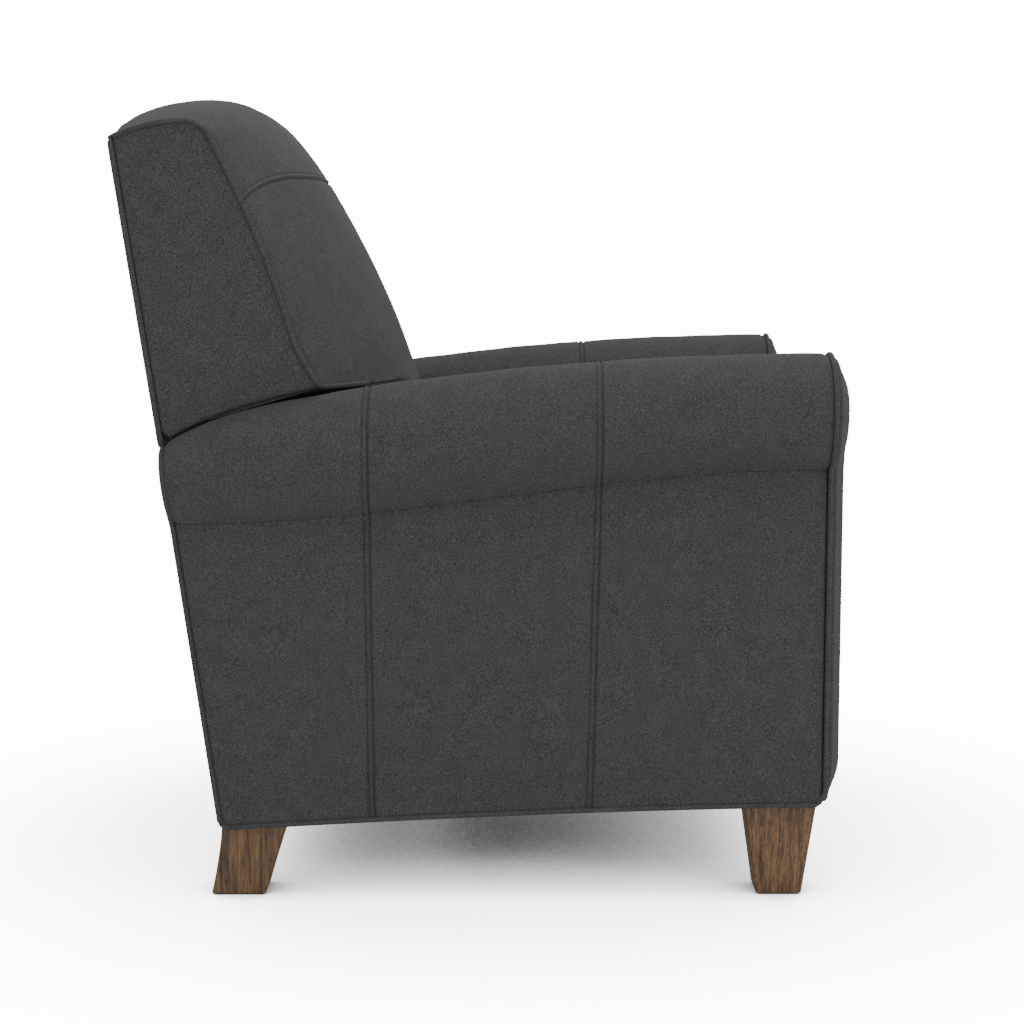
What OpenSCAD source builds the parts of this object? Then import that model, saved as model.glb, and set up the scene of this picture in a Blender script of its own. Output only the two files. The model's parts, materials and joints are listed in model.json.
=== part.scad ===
// High-leg recliner: a press-back armchair. The back leans on two frame pivots, its lower
// ends and two swing links carry the seat forwards, and a folding linkage under the seat
// swings the front panel out and up as a footrest.
// +Z is up, the chair faces -Y, and the origin is on the floor under the middle of the chair.

/* [Body] */
// Clear width between the two arms
seat_w = 532; // [500:1:600]
// Width of an arm from its inside face to its outside panel
arm_w = 100; // [94:1:120]
// Front edge of the outside panels, ahead of the middle
body_front = 433; // [425:1:445]
// Lower rear edge of the body, behind the middle
rear_foot = 333; // [330:1:345]
// Angle at which the body's rear edge leans back
body_lean = 8; // [7:0.5:9]
// Height of the body's lower edge at the front
hem_front = 125; // [122:1:127]
// Height of the body's lower edge at the rear
hem_rear = 95; // [85:1:100]
// Thickness of the fabric-covered outside panels
panel_t = 8; // [6:1:10]

/* [Arms] */
// Height of the arm at its front
arm_h = 696; // [680:1:720]
// How far the arm's top slopes down towards the rear
arm_fall = 85; // [80:1:90]
// Extra drop where the arm rounds over at the rear end
arm_tail = 30; // [24:1:36]
// Overhang of the rolled arm's middle inside the outside panel
roll_inset = 30; // [26:1:34]
// Half width of the roll on its outer side, at the front
roll_front = 70; // [60:1:74]
// Half width of the roll on its outer side, at the rear
roll_rear = 48; // [44:1:56]
// Height of the crease under the roll at the front
crease_h = 553; // [540:1:565]
// Drop of that crease towards the rear
crease_fall = 68; // [60:1:74]
// Padding over the arm frame on its inside face
arm_pad = 10; // [9:1:12]
// How far the padded front panels stand proud
front_crown = 19; // [14:1:20]
// Diameter of the welt cord
welt_d = 6.6; // [5:0.2:8]

/* [Wood] */
// Thickness of the arm frames' plywood
ply_t = 12; // [9:1:14]
// Thickness of the frame rails
rail_t = 22; // [18:1:24]
// Width of a front leg at its top
leg_top = 80; // [70:1:90]
// Width of a front leg at its foot
leg_foot = 58; // [40:1:62]
// Height of the nail-on glides
glide_h = 4; // [2:0.5:6]
// Diameter of the glides
glide_d = 24; // [16:1:30]
// Diameter of the hanger bolts that hold the legs
bolt_d = 8; // [6:1:10]

/* [Back] */
// Angle at which the upright back leans
back_lean = 8.4; // [8:0.1:9]
// Rear face of the back at arm height, behind the middle
back_rear = 403; // [402:1:408]
// Length of the back above arm height, along its lean
back_len = 390; // [370:1:410]
// Half width of the back over the arms
wing_half = 345; // [340:1:360]
// Gap between the arms and the wings' lower edges
wing_gap = 10; // [9:1:14]
// Depth of the wooden back frame
back_frame_d = 60; // [50:1:64]
// How far the back cushion crowns out ahead of the wings
back_crown = 100; // [80:1:110]
// How far the head of the back cushion crowns over the wings
head_crown = 46; // [30:1:56]

/* [Seat] */
// Thickness of the seat cushion at its edges
seat_t = 104; // [84:1:108]
// Crown of the seat cushion over its edges
seat_crown = 20; // [10:1:30]
// Front of the seat cushion, ahead of the middle
seat_front = 447; // [440:1:455]
// Rear end of the seat cushion, behind the middle
seat_rear = 76; // [50:1:80]
// Gap at each side of the seat cushion
side_gap = 5; // [4:0.5:8]
// Height of the wooden seat rails
seat_rail_t = 20; // [16:1:22]

/* [Footrest] */
// Height of the footrest board
board_h = 232; // [210:1:234]
// Thickness of the footrest board
board_t = 18; // [15:1:20]
// Thickness of the footrest pad at its edges
pad_t = 22; // [16:1:26]
// Crown of the footrest pad
pad_crown = 10; // [6:1:12]

/* [Mechanism] */
// Thickness of the steel plates and links
steel_t = 4; // [3:0.5:4]
// Free space between neighbouring layers of steel
layer_gap = 2; // [1.9:0.1:2.4]
// Diameter of the rivets
rivet_d = 8; // [6:0.5:9]
// Diameter of the rivet heads
head_d = 14; // [12:0.5:15]
// Height of the rivet heads
head_t = 1.5; // [1:0.1:1.6]
// Radial clearance of the rivets in their holes
fit = 0.05; // [0.03:0.01:0.08]
// Radial clearance of the loop-closing rivets
loop_fit = 0.35; // [0.2:0.05:0.5]
// Position of the back pivots behind the middle
pivot_y = 334; // [330:1:336]
// Height of the back pivots
pivot_z = 452; // [446:1:456]
// Length of the swing links and of the back's lower arms
swing_len = 150; // [140:1:152]
// Position of the front swing links, ahead of the middle
swing_y = 60; // [40:1:80]
// Height of the swing links' upper pivots
swing_z = 345; // [342:1:347]
// Length of the footrest's turning links
link_len = 188; // [180:1:190]
// Lean of the folded links towards the rear
link_lean = 17; // [14:1:18]
// Rear link's seat pivot, ahead of the middle
link_y = 226; // [220:1:232]
// Rear link's seat pivot height
link_z = 328; // [326:1:330]
// Front link's seat pivot, ahead of the rear link's
link_run = 60; // [56:1:64]
// Front link's seat pivot, above the rear link's
link_rise = 8; // [6:0.5:9]
// Board pivot ahead of the middle when folded
board_pivot_y = 376; // [372:1:378]
// Board pivot height when folded
board_pivot_z = 250; // [244:1:254]
// Spacing of the paired pivots on the board and the front link
pair_pitch = 36; // [34:1:38]
// Lean of each folded pair of pivots towards the front
pair_lean = 25; // [23:1:27]
// Half width of the links
link_half = 9; // [7:0.5:9]
// Radius of the links' round ends
boss_r = 11; // [10:0.5:11.5]
// Diameter of the torque tube
tube_d = 22; // [20:1:24]
// Wall of the torque tube
tube_wall = 1.5; // [1:0.5:2]

/* [Hidden] */
$fn = 48;

fabric = [0.27, 0.27, 0.28];
fabric_side = [0.23, 0.23, 0.24];
wood = [0.76, 0.62, 0.43];
walnut = [0.42, 0.33, 0.25];
steel = [0.35, 0.36, 0.38];
zinc = [0.72, 0.73, 0.74];
webbing = [0.15, 0.15, 0.16];

// Widths, from the middle outwards
arm_in = seat_w / 2;
arm_out = arm_in + arm_w;
roll_x = arm_out - roll_inset;
wood_in = arm_in + arm_pad;
wood_out = arm_out - panel_t;
step = steel_t + layer_gap;
frame_x = wood_in - steel_t;
swing_x = frame_x - step;
seat_x = swing_x - step;
turn_x = seat_x - step;
lower_x = turn_x - step;
upper_x = lower_x - step;
bracket_x = upper_x - step;
cushion_half = arm_in - side_gap;
post_w = 25;

// Body and arm outlines, seen from the side: y runs backwards, z upwards
arm_front = body_front + 8;
arm_rear = rear_y(arm_h - arm_fall - arm_tail) - 10;
arm_len = arm_rear + arm_front;
function rear_y(z) = rear_foot + (z - hem_rear) * tan(body_lean);
function arm_u(y) = (y + arm_front) / arm_len;
function arm_top(y) = arm_h - arm_fall * pow(arm_u(y), 2) - arm_tail * pow(abs(arm_u(y)), 12);
function crease(y) = crease_h - crease_fall / 2 * (1 - cos(180 * min(1, (y + body_front) / (arm_len - 22))));
function hem(y) = hem_front - (hem_front - hem_rear) * pow(max(0, y + body_front) / (rear_foot + body_front), 1.6);
function roll_half(y) = roll_front - (roll_front - roll_rear) * pow(arm_u(y), 3);
function blend(a, b, t) = a + (b - a) * t;

// The back leans about a line at arm height
lean_z = 582;
function back_at(y, z) = [back_rear + y * cos(back_lean) + z * sin(back_lean),
    lean_z - y * sin(back_lean) + z * cos(back_lean)];
module on_back() {
    translate([0, back_rear, lean_z]) rotate([-back_lean, 0, 0]) children();
}
back_skin = 5;
back_foot = 112;
frame_front = back_skin + back_frame_d;

// Pivots, seen from the side
back_pivot = [pivot_y, pivot_z];
back_knee = [pivot_y, pivot_z - swing_len];
swing_top = [-swing_y, swing_z];
swing_foot = [-swing_y, swing_z - swing_len];
rear_link_top = [-link_y, link_z];
front_link_top = [-link_y - link_run, link_z + link_rise];
link_vector = link_len * [sin(link_lean), -cos(link_lean)];
rear_link_foot = rear_link_top + link_vector;
front_link_foot = front_link_top + link_vector;
board_pivot = [-board_pivot_y, board_pivot_z];
pair_vector = pair_pitch * [-sin(pair_lean), cos(pair_lean)];
front_link_pair = front_link_foot + pair_vector;
board_pair = board_pivot + pair_vector;

// Shared sizes of the footrest and the seat
board_back = board_pivot_y + 30;
board_face = board_back + board_t;
board_mid = board_pivot_z + 10;
flange_z = link_z + 24;
seat_rail_z = flange_z + steel_t;
deck_z = seat_rail_z + seat_rail_t;
seat_deck = deck_z + 4;
seat_rail_half = seat_x + steel_t - 6;
side_rail_w = 58;
seat_rail_front = board_back - 8;
seat_rail_rear = 230;

// Fastener places
post_bolts = [[-43, -58], [-37, 40]];
post_bolt_d = 6;
plate_screws = [[-88, 336], [60, 336], [190, 336], [322, 400]];
plate_screw_r = 2.5;
front_leg_y = 50 - body_front;
leg_x = wood_in + leg_top / 2 - 11;
rear_leg_x = leg_x;
rear_leg_y = rear_foot - 43;
rear_leg_w = 62;
leg_bolt_up = 30;
leg_bolt_down = 45;

// One side of the chair, or both
module left() {
    children();
}
module right() {
    mirror([1, 0, 0]) children();
}
module pair() {
    left() children();
    right() children();
}

// A side view of y and z, given thickness t from x outwards
module slab(x, t) {
    translate([x, 0, 0]) rotate([90, 0, 90]) linear_extrude(t) children();
}
// A flat bar with round ends, a hair wider than the bar itself
module bar(p, q, r) {
    half = r - 0.05;
    translate(p) circle(r);
    translate(q) circle(r);
    translate(p) rotate(atan2(q[1] - p[1], q[0] - p[0])) translate([0, -half]) square([norm(q - p), 2 * half]);
}
module holes(points, clearance) {
    for (p = points) translate(p) circle(rivet_d / 2 + clearance);
}
// A rivet along x at point p, with a head at each end
module rivet(p, x_from, x_to) {
    translate([x_from, p[0], p[1]]) rotate([0, 90, 0]) {
        cylinder(d = rivet_d, h = x_to - x_from);
        translate([0, 0, -head_t]) cylinder(d = head_d, h = head_t);
        translate([0, 0, x_to - x_from]) cylinder(d = head_d, h = head_t);
    }
}
// A pivot stud fixed in the frame plate, with a head on its inner end
module stud(p) {
    translate([swing_x, p[0], p[1]]) rotate([0, 90, 0]) {
        cylinder(d = rivet_d, h = frame_x + steel_t - swing_x);
        translate([0, 0, -head_t]) cylinder(d = head_d, h = head_t);
    }
}
// A collar that keeps two links one layer apart
module collar(p, x_from, x_to) {
    translate([x_from, p[0], p[1]]) rotate([0, 90, 0]) cylinder(d = head_d - 1, h = x_to - x_from);
}

// A closed skin over rings of points: every ring has the same number of points, and end lists
// the triangles that close an end ring
module skin(rings, end = []) {
    n = len(rings[0]);
    m = len(rings);
    points = [for (ring = rings) each ring];
    sides = [for (i = [0:m - 2], j = [0:n - 1]) each [
        [i * n + j, i * n + (j + 1) % n, (i + 1) * n + j],
        [(i + 1) * n + j, i * n + (j + 1) % n, (i + 1) * n + (j + 1) % n]]];
    close = len(end) > 0 ? end : fan(0, 1, n - 1);
    first = [for (t = close) [t[2], t[1], t[0]]];
    last = [for (t = close) [for (j = t) (m - 1) * n + j]];
    polyhedron(points, concat(sides, first, last));
}
// Triangles from point hub to each stretch of a ring between two of its points
function fan(hub, from, to) = [for (k = [from:to - 1]) [hub, k, k + 1]];
// A closed pillow whose rings lie across x: half width, centre and half sizes in y and z
function lobe(v, power) = sign(v) * pow(abs(v), 2 / power);
function edge_in(x, half, r) = r - sqrt(r * r - pow(max(0, abs(x) - half + r), 2));
function pillow_ring(x, half, y0, a, z0, b, crown, bulge, dish, r, n) = let (
    e = edge_in(x, half, r),
    f = 1 - pow(abs(x) / half, 2.6)
) [for (k = [0:n - 1]) let (
    t = 360 * k / n,
    c = lobe(cos(t), 5),
    s = lobe(sin(t), 5),
    up = s > 0 ? crown * f * s * (1 - pow(abs(c), 3)) : 0,
    out = c < 0 ? bulge * f * c * (1 - pow(abs(s), 3)) : dish * (1 - f) * c
) [x, y0 + (a - e) * c + out, z0 + (b - e) * s + up]];
module pillow(half, y0, a, z0, b, crown, bulge, dish, r, n) {
    places = [-1, -0.993, -0.975, -0.94, -0.86, -0.68, -0.4, 0, 0.4, 0.68, 0.86, 0.94, 0.975, 0.993, 1];
    skin([for (p = places) pillow_ring(p * half, half, y0, a, z0, b, crown, bulge, dish, r, n)]);
}
// A round cord along a row of points, on six sides, lying square to the direction aside
module cord(path, d, aside) {
    n = len(path);
    rings = [for (i = [0:n - 1]) let (
        ahead = path[min(i + 1, n - 1)] - path[max(i - 1, 0)],
        u = ahead / norm(ahead),
        w = aside - (aside * u) * u,
        p = w / norm(w),
        q = cross(u, p)
    ) [for (k = [0:5]) path[i] + d / 2 * (cos(60 * k) * p + sin(60 * k) * q)]];
    skin(rings);
}

// Wooden arm frame: a plywood inside, two rails and two posts
frame_stations = [0:1 / 10:1];
frame_nose = -body_front + 14;
rear_panel_t = 8;
function rail_top(y) = crease(y) + 40;
module arm_frame_outline() {
    foot_y = rear_foot - rear_panel_t - 0.3;
    top_y = rear_y(crease_h - crease_fall + 15) - rear_panel_t - 0.3;
    low = [for (t = frame_stations) let (y = blend(frame_nose, foot_y, t)) [y, hem(y) + 0.3]];
    high = [for (t = frame_stations) let (y = blend(top_y, frame_nose, t)) [y, rail_top(y)]];
    polygon(concat(low, high));
}
module arm_frame() {
    color(wood) difference() {
        slab(wood_in, wood_out - wood_in) arm_frame_outline();
        slab(wood_in + ply_t, arm_w) difference() {
            polygon([[frame_nose + 40, hem_front + 24],
                [rear_foot - 70, hem_front + 24],
                [rear_y(470) - 75, crease_h - crease_fall + 14],
                [-20, crease(-20) + 14],
                [frame_nose + 40, crease_h + 14]]);
        }
        slab(wood_in - 1, ply_t + 2) for (p = concat(plate_screws, [back_pivot, swing_top]))
            translate(p) circle(plate_screw_r + fit);
        for (b = [[leg_x, front_leg_y], [rear_leg_x, rear_leg_y]])
            translate([b[0], b[1], 0]) cylinder(d = bolt_d + 2 * fit, h = hem_front + 40);
    }
}

// Padded arm cover: rings across the arm, from its front to its rear end. Its padded inside
// drops to the seat, and ends at drop_end to leave the back's steel free.
drop_end = 232;
function inside_x(y) = y < drop_end + 10 ? arm_in : wood_in - 2;
function drop_z(y) = y < drop_end + 10 ? seat_deck - 19 : pivot_z + 40;
function cover_ring(y, shear) = let (
    zc = (arm_top(y) + crease(y)) / 2,
    h = arm_top(y) - zc,
    w_in = roll_x - inside_x(y),
    w_out = roll_half(y),
    outer = concat([[inside_x(y), drop_z(y)]],
        [for (t = [180:-18:90]) [roll_x + w_in * cos(t), zc + h * sin(t)]],
        [for (t = [72:-18:-54]) [roll_x + w_out * cos(t), zc + h * sin(t)]],
        [[arm_out, crease(y)]]),
    inner = [[wood_out, crease(y)], [wood_out, rail_top(y) + 0.4], [wood_in, rail_top(y) + 0.4],
        [wood_in - 0.3, drop_z(y)]]
) [for (p = concat(outer, inner)) [p[0], y + shear * (p[1] - 540) * tan(body_lean), p[1]]];
module arm_cover() {
    ys = [for (t = [0:1 / 12:1]) blend(-body_front, drop_end, t)];
    tail = [for (y = [drop_end + 20, 300, 340, 370, arm_rear]) y];
    rings = [for (y = concat(ys, tail)) cover_ring(y, max(0, (y - 200) / (arm_rear - 200)))];
    end = concat([[0, 1, 18], [0, 18, 19]], fan(18, 1, 8), [[18, 8, 17]], fan(17, 8, 16));
    color(fabric) skin(rings, end);
}

// Outside panel with its hem, its leaning rear edge and its curved upper edge
module outside_panel() {
    low = [for (t = frame_stations) let (y = blend(-body_front, rear_foot, t)) [y, hem(y)]];
    top_rear = rear_y(crease_h - crease_fall) - 8;
    high = [for (t = frame_stations) let (y = blend(top_rear, -body_front, t)) [y, crease(y) - 1.2]];
    color(fabric_side) slab(wood_out, panel_t) polygon(concat(low, high));
}

// Front outline of an arm, in x and z, from the lower inside corner over the roll
front_zc = (arm_top(-body_front) + crease(-body_front)) / 2;
front_h = arm_top(-body_front) - front_zc;
function arm_outline() = concat(
    [[arm_in, hem_front], [arm_in, 360]],
    [for (t = [180:-18:90]) [roll_x + (roll_x - arm_in) * cos(t), front_zc + front_h * sin(t)]],
    [for (t = [72:-18:-54]) [roll_x + roll_half(-body_front) * cos(t), front_zc + front_h * sin(t)]],
    [[arm_out, crease_h], [arm_out, 330], [arm_out, hem_front]]);
function spine(p) = p[1] > crease_h + 8 ? [roll_x, front_zc]
    : [(arm_in + arm_out) / 2, max(hem_front + 46, min(p[1], crease_h - 10))];
function inset(p, d) = p + (spine(p) - p) * min(1, d / norm(spine(p) - p));
module arm_front_panel() {
    edge = welt_d * 0.75;
    steps = [[0, 0.4], [0, 8], [5, 13], [12, 17], [21, 19], [32, 8 + front_crown]];
    rings = [for (s = steps) [for (p = arm_outline()) let (q = inset(p, edge + s[0]))
        [q[0], -body_front - s[1], q[1]]]];
    last = len(rings[0]) - 1;
    across = [for (j = [0:last / 2 - 2]) each [[j, j + 1, last - j], [j + 1, last - j - 1, last - j]]];
    color(fabric) skin(rings, concat(across, fan(last / 2 - 1, last / 2, last / 2 + 1)));
}
module arm_front_welt() {
    path = [for (p = arm_outline()) let (q = inset(p, 1)) [q[0], -body_front - welt_d / 2 - 0.4, q[1]]];
    color(fabric) cord(path, welt_d, [0, 1, 0]);
}

// Panel across the rear of the body: low between the arms, with an ear behind each arm
rear_panel_top = pivot_z + 2;
module rear_slice(top) {
    polygon([[rear_y(hem_rear + 2) - rear_panel_t, hem_rear + 2], [rear_y(hem_rear + 2), hem_rear + 2],
        [rear_y(top), top], [rear_y(top) - rear_panel_t, top]]);
}
module rear_panel() {
    half = wood_out - 0.3;
    color(fabric_side) {
        slab(-half, 2 * half) rear_slice(rear_panel_top);
        pair() slab(wood_in, half - wood_in) rear_slice(crease_h - crease_fall + 39);
    }
}
front_rail_y = 31 - body_front;
front_rail_size = [2 * wood_in, 30, 18];
module front_rail() {
    color(wood) translate([-wood_in, front_rail_y, hem_front]) cube(front_rail_size);
}
module rear_rail() {
    y = rear_y(hem_rear) - rear_panel_t + 0.9;
    color(wood) translate([-wood_in, y - rail_t, hem_rear + 12]) cube([2 * wood_in, rail_t, 45]);
}
// Glued triangular blocks in the corners of the base
module corner_blocks() {
    color(wood) pair() {
        translate([wood_in, front_rail_y + front_rail_size[1] + 0.3, hem_front + 0.3])
            rotate([0, 0, 180]) mirror([0, 1, 0]) linear_extrude(rail_t) polygon([[0, 0], [46, 0], [0, 46]]);
        translate([wood_in, rear_y(hem_rear) - rear_panel_t + 0.6 - rail_t, hem_rear + 14]) rotate([0, 0, 180])
            linear_extrude(rail_t) polygon([[0, 0], [46, 0], [0, 46]]);
    }
}

// Front leg: a square taper, cut from two crossed trapezoids
front_leg_z = hem(front_leg_y + 46) + 0.1;
module taper(half_top, half_foot) {
    polygon([[-half_foot, glide_h], [half_foot, glide_h], [half_top, front_leg_z], [-half_top, front_leg_z]]);
}
module front_leg() {
    color(walnut) translate([leg_x, front_leg_y, 0]) difference() {
        intersection() {
            translate([-60, 0, 0]) rotate([90, 0, 90]) linear_extrude(120) taper(46, 29);
            translate([0, 60, 0]) rotate([90, 0, 0]) linear_extrude(120) taper(leg_top / 2, leg_foot / 2);
        }
        translate([0, 0, front_leg_z - leg_bolt_down]) cylinder(d = bolt_d + 2 * fit, h = leg_bolt_down + 1);
        translate([0, 0, glide_h - 1]) cylinder(d = 3 + 2 * fit, h = 13);
    }
}
// Rear sabre leg: both edges sweep backwards on arcs
rear_leg_z = hem(rear_leg_y + 43) - 0.3;
function sweep(t, y0, run, drop) = [y0 + run * pow(t, 2.2), rear_leg_z - drop * t];
module rear_leg() {
    drop = rear_leg_z - glide_h;
    front_edge = [for (t = [0:1 / 8:1]) sweep(t, rear_leg_y - 43, 32, drop)];
    rear_edge = [for (t = [1:-1 / 8:0]) sweep(t, rear_leg_y + 42, 15, drop)];
    color(walnut) difference() {
        slab(rear_leg_x - rear_leg_w / 2, rear_leg_w) polygon(concat(front_edge, rear_edge));
        translate([rear_leg_x, rear_leg_y, rear_leg_z - leg_bolt_down])
            cylinder(d = bolt_d + 2 * fit, h = leg_bolt_down + 1);
        translate([rear_leg_x, rear_leg_y + 22, glide_h - 1]) cylinder(d = 3 + 2 * fit, h = 13);
    }
}
module leg_bolts() {
    color(zinc) pair() {
        translate([leg_x, front_leg_y, front_leg_z - leg_bolt_down + 1])
            cylinder(d = bolt_d, h = leg_bolt_down + leg_bolt_up);
        translate([rear_leg_x, rear_leg_y, rear_leg_z - leg_bolt_down + 1])
            cylinder(d = bolt_d, h = leg_bolt_down + leg_bolt_up);
    }
}
module glide() {
    cylinder(d = glide_d, h = glide_h);
    translate([0, 0, glide_h]) cylinder(d = 3, h = 11);
}
module leg_glides() {
    color(webbing) pair() {
        translate([leg_x, front_leg_y, 0]) glide();
        translate([rear_leg_x, rear_leg_y + 22, 0]) glide();
    }
}

// Steel plate screwed to the arm frame, with the back pivot and the swing link pivot
module frame_plate() {
    color(steel) slab(frame_x, steel_t) difference() {
        union() {
            translate([swing_top[0], swing_z]) circle(16);
            translate([-112, swing_z - 27]) square([pivot_y + 14 + 112, 42]);
            translate([pivot_y - 32, swing_z - 27]) square([46, pivot_z - swing_z + 40]);
            translate(back_pivot) circle(16);
        }
        holes([swing_top, back_pivot], fit);
        for (p = plate_screws) translate(p) circle(plate_screw_r + fit);
    }
}
module frame_plate_screws() {
    color(zinc) pair() for (p = plate_screws) translate([frame_x, p[0], p[1]]) rotate([0, 90, 0]) {
        translate([0, 0, -head_t]) cylinder(r = 5, h = head_t);
        cylinder(r = plate_screw_r, h = steel_t + ply_t - 1);
    }
}
module frame_rivets() {
    color(zinc) pair() {
        stud(back_pivot);
        stud(swing_top);
    }
}

// Outline of a wing's front and top edge: distances ahead of the back's rear face, and up it
wing_edge = [[210, 41], [195, 80], [188, 105], [177, 172], [163, 238], [145, 304], [130, 351],
    [124, 370], [114, 382], [99, 390], [61, 392], [32, 389], [7, 383]];
function along(up) = up > 100 ? up * back_len / 390 : up;
function wing_point(k) = back_at(-wing_edge[k][0], along(wing_edge[k][1]));
// Back cushion: one skin over rings that follow it from its foot, up its front and over its
// head. A ring runs across the front on a crowned line and closes along the frame. Below the
// wings it is cut to the width between the arms.
// A station is [side, centre, frame], each a point seen from the side
wing_cushion = wing_half - 8.3;
function station(side, push, lift, frame_ahead, frame_up) = [
    back_at(-side[0], along(side[1])),
    back_at(-side[0] - push * back_crown, along(side[1]) + lift * head_crown),
    back_at(-frame_ahead, along(frame_up))];
function cushion_ring(s, half, n) = concat(
    [for (k = [0:n]) let (
        x = half * sin(90 * (2 * k / n - 1)),
        f = 1 - pow(abs(x) / wing_cushion, 2.4)
    ) concat([x], blend(s[0], s[1], f))],
    [concat([half], s[2]), concat([-half], s[2])]);
module back_cushion() {
    face = frame_front + 0.4;
    lower_side = [[115, -196], [146, -194], [176, -165], [199, -120], [211, -75], [215, -20], [210, 40]];
    lower_push = [0.9, 1.06, 1.06, 1.04, 1.06, 1.04, 1.03];
    lower_lift = [0, 0.1, 0.1, 0.1, 0.1, 0.03, -0.06];
    lower_up = [-178, -162, -136, -104, -64, -18, 19];
    push = [1.036, 1.069, 1.064, 0.975, 0.9, 0.841, 0.704, 0.561, 0.418, 0.12, 0.032, -0.033, -0.03];
    lift = [-0.047, 0.2, 0.318, 0.308, 0.259, 0.252, 0.354, 0.588, 0.761, 0.866, 0.922, 0.903, 0.85];
    frame_ahead = [face, face, face, face, face, face, face + 4, 78, 72, 66, 50, 32, 14];
    frame_up = [20, 62, 112, 182, 243, 293, 322, 342, 354, 360, 361, 362, 364];
    color(fabric) skin(concat(
        [for (k = [0:6]) cushion_ring(station(lower_side[k], lower_push[k], lower_lift[k], face, lower_up[k]),
            cushion_half, 16)],
        [for (k = [0:12]) cushion_ring(station(wing_edge[k], push[k], lift[k], frame_ahead[k], frame_up[k]),
            wing_cushion, 16)]));
}
// Wooden back frame
module back_post() {
    color(wood) difference() {
        on_back() translate([swing_x - post_w - 0.1, -frame_front, -back_foot + 6])
            cube([post_w, back_frame_d, back_len - 58.2 + back_foot - 6]);
        on_back() translate([0, -40.2, 59.8]) cube([arm_out, 40, 24.4]);
        for (p = post_bolts) let (q = back_at(p[0], p[1]))
            translate([swing_x - post_w - 1, q[0], q[1]]) rotate([0, 90, 0])
                cylinder(d = post_bolt_d + 2 * fit, h = post_w + 2);
    }
}
module back_rail(half, low, high, y, t) {
    color(wood) on_back() translate([-half, y, low]) cube([2 * half, t, high - low]);
}
module outside_back() {
    crown = [for (t = [1:-1 / 8:-1]) [t * (wing_half - 3), back_len - 8 + 24 * (1 - pow(abs(t), 2.4))]];
    color(fabric_side) on_back() rotate([90, 0, 0]) linear_extrude(back_skin - 0.2)
        polygon(concat([[-cushion_half, -back_foot], [cushion_half, -back_foot], [cushion_half, 12],
            [wing_half, 12], [wing_half, back_len - 16]], crown,
            [[-wing_half, back_len - 16], [-wing_half, 12], [-cushion_half, 12]]));
}
// Side of the wing: its lower edge follows the arm
function wing_path() = concat(
    [for (t = [0:1 / 6:1]) let (y = blend(back_rear - 10, wing_point(0)[0], t)) [y, arm_top(y) + wing_gap + 1]],
    [for (k = [1:len(wing_edge) - 1]) wing_point(k)]);
module wing_panel() {
    color(fabric_side) slab(wing_half - 8, 8) polygon(wing_path());
}
module wing_welt() {
    path = [for (p = wing_path()) if (p[1] > arm_top(0) - 36) [wing_half + welt_d / 2, p[0], p[1]]];
    color(fabric) cord(path, welt_d, [1, 0, 0]);
}
module back_brackets() {
    top = back_at(-36, 44);
    color(steel) pair() slab(swing_x, steel_t) difference() {
        union() {
            bar(back_pivot, back_knee, 14);
            bar(back_pivot, top, 13);
        }
        holes([back_pivot, back_knee], fit);
        for (p = post_bolts) translate(back_at(p[0], p[1])) circle(post_bolt_d / 2 + fit);
    }
}
// Bolts through the posts and brackets, with a flat head outside and a nut inside
module back_bolts() {
    color(zinc) pair() for (p = post_bolts) let (q = back_at(p[0], p[1]))
        translate([swing_x - post_w - 0.1, q[0], q[1]]) rotate([0, 90, 0]) {
            cylinder(d = post_bolt_d, h = post_w + 0.1 + steel_t);
            translate([0, 0, -4]) cylinder(d = 1.7 * post_bolt_d, h = 4);
            translate([0, 0, post_w + 0.1 + steel_t]) cylinder(d = head_d, h = head_t);
        }
}
// Elastic straps across the back frame
module back_webbing() {
    pitch = (back_len - 40) / 5;
    color(webbing) on_back() for (k = [0:5])
        translate([-swing_x + post_w + 0.5, -frame_front + 6, k * pitch - 60])
            cube([2 * (swing_x - post_w) - 1, 1.5, pitch - 20]);
}

// Seat cushion with a crowned top and a rounded nose
module seat_cushion() {
    color(fabric) pillow(cushion_half, (seat_rear - seat_front) / 2, (seat_rear + seat_front) / 2 - 6,
        seat_deck + seat_t / 2, seat_t / 2, seat_crown, 8, back_crown / 2, 18, 24);
}
module seat_rail() {
    color(wood) translate([seat_rail_half - side_rail_w, -seat_rail_front, seat_rail_z])
        cube([side_rail_w, seat_rail_front + seat_rail_rear, seat_rail_t]);
}
module seat_cross_rail(y, w) {
    inner = seat_rail_half - side_rail_w - 0.2;
    color(wood) translate([-inner, y, seat_rail_z]) cube([2 * inner, w, seat_rail_t]);
}
module seat_webbing() {
    reach = seat_rail_half - 20;
    color(webbing) {
        for (k = [-2:2]) translate([k * 74 - 28, -seat_rail_front + 10, deck_z + 0.3])
            cube([56, seat_rail_front + seat_rail_rear - 20, 1.4]);
        for (k = [0:6]) translate([-reach, -330 + k * 76, deck_z + 1.8]) cube([2 * reach, 54, 1.4]);
    }
}
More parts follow.
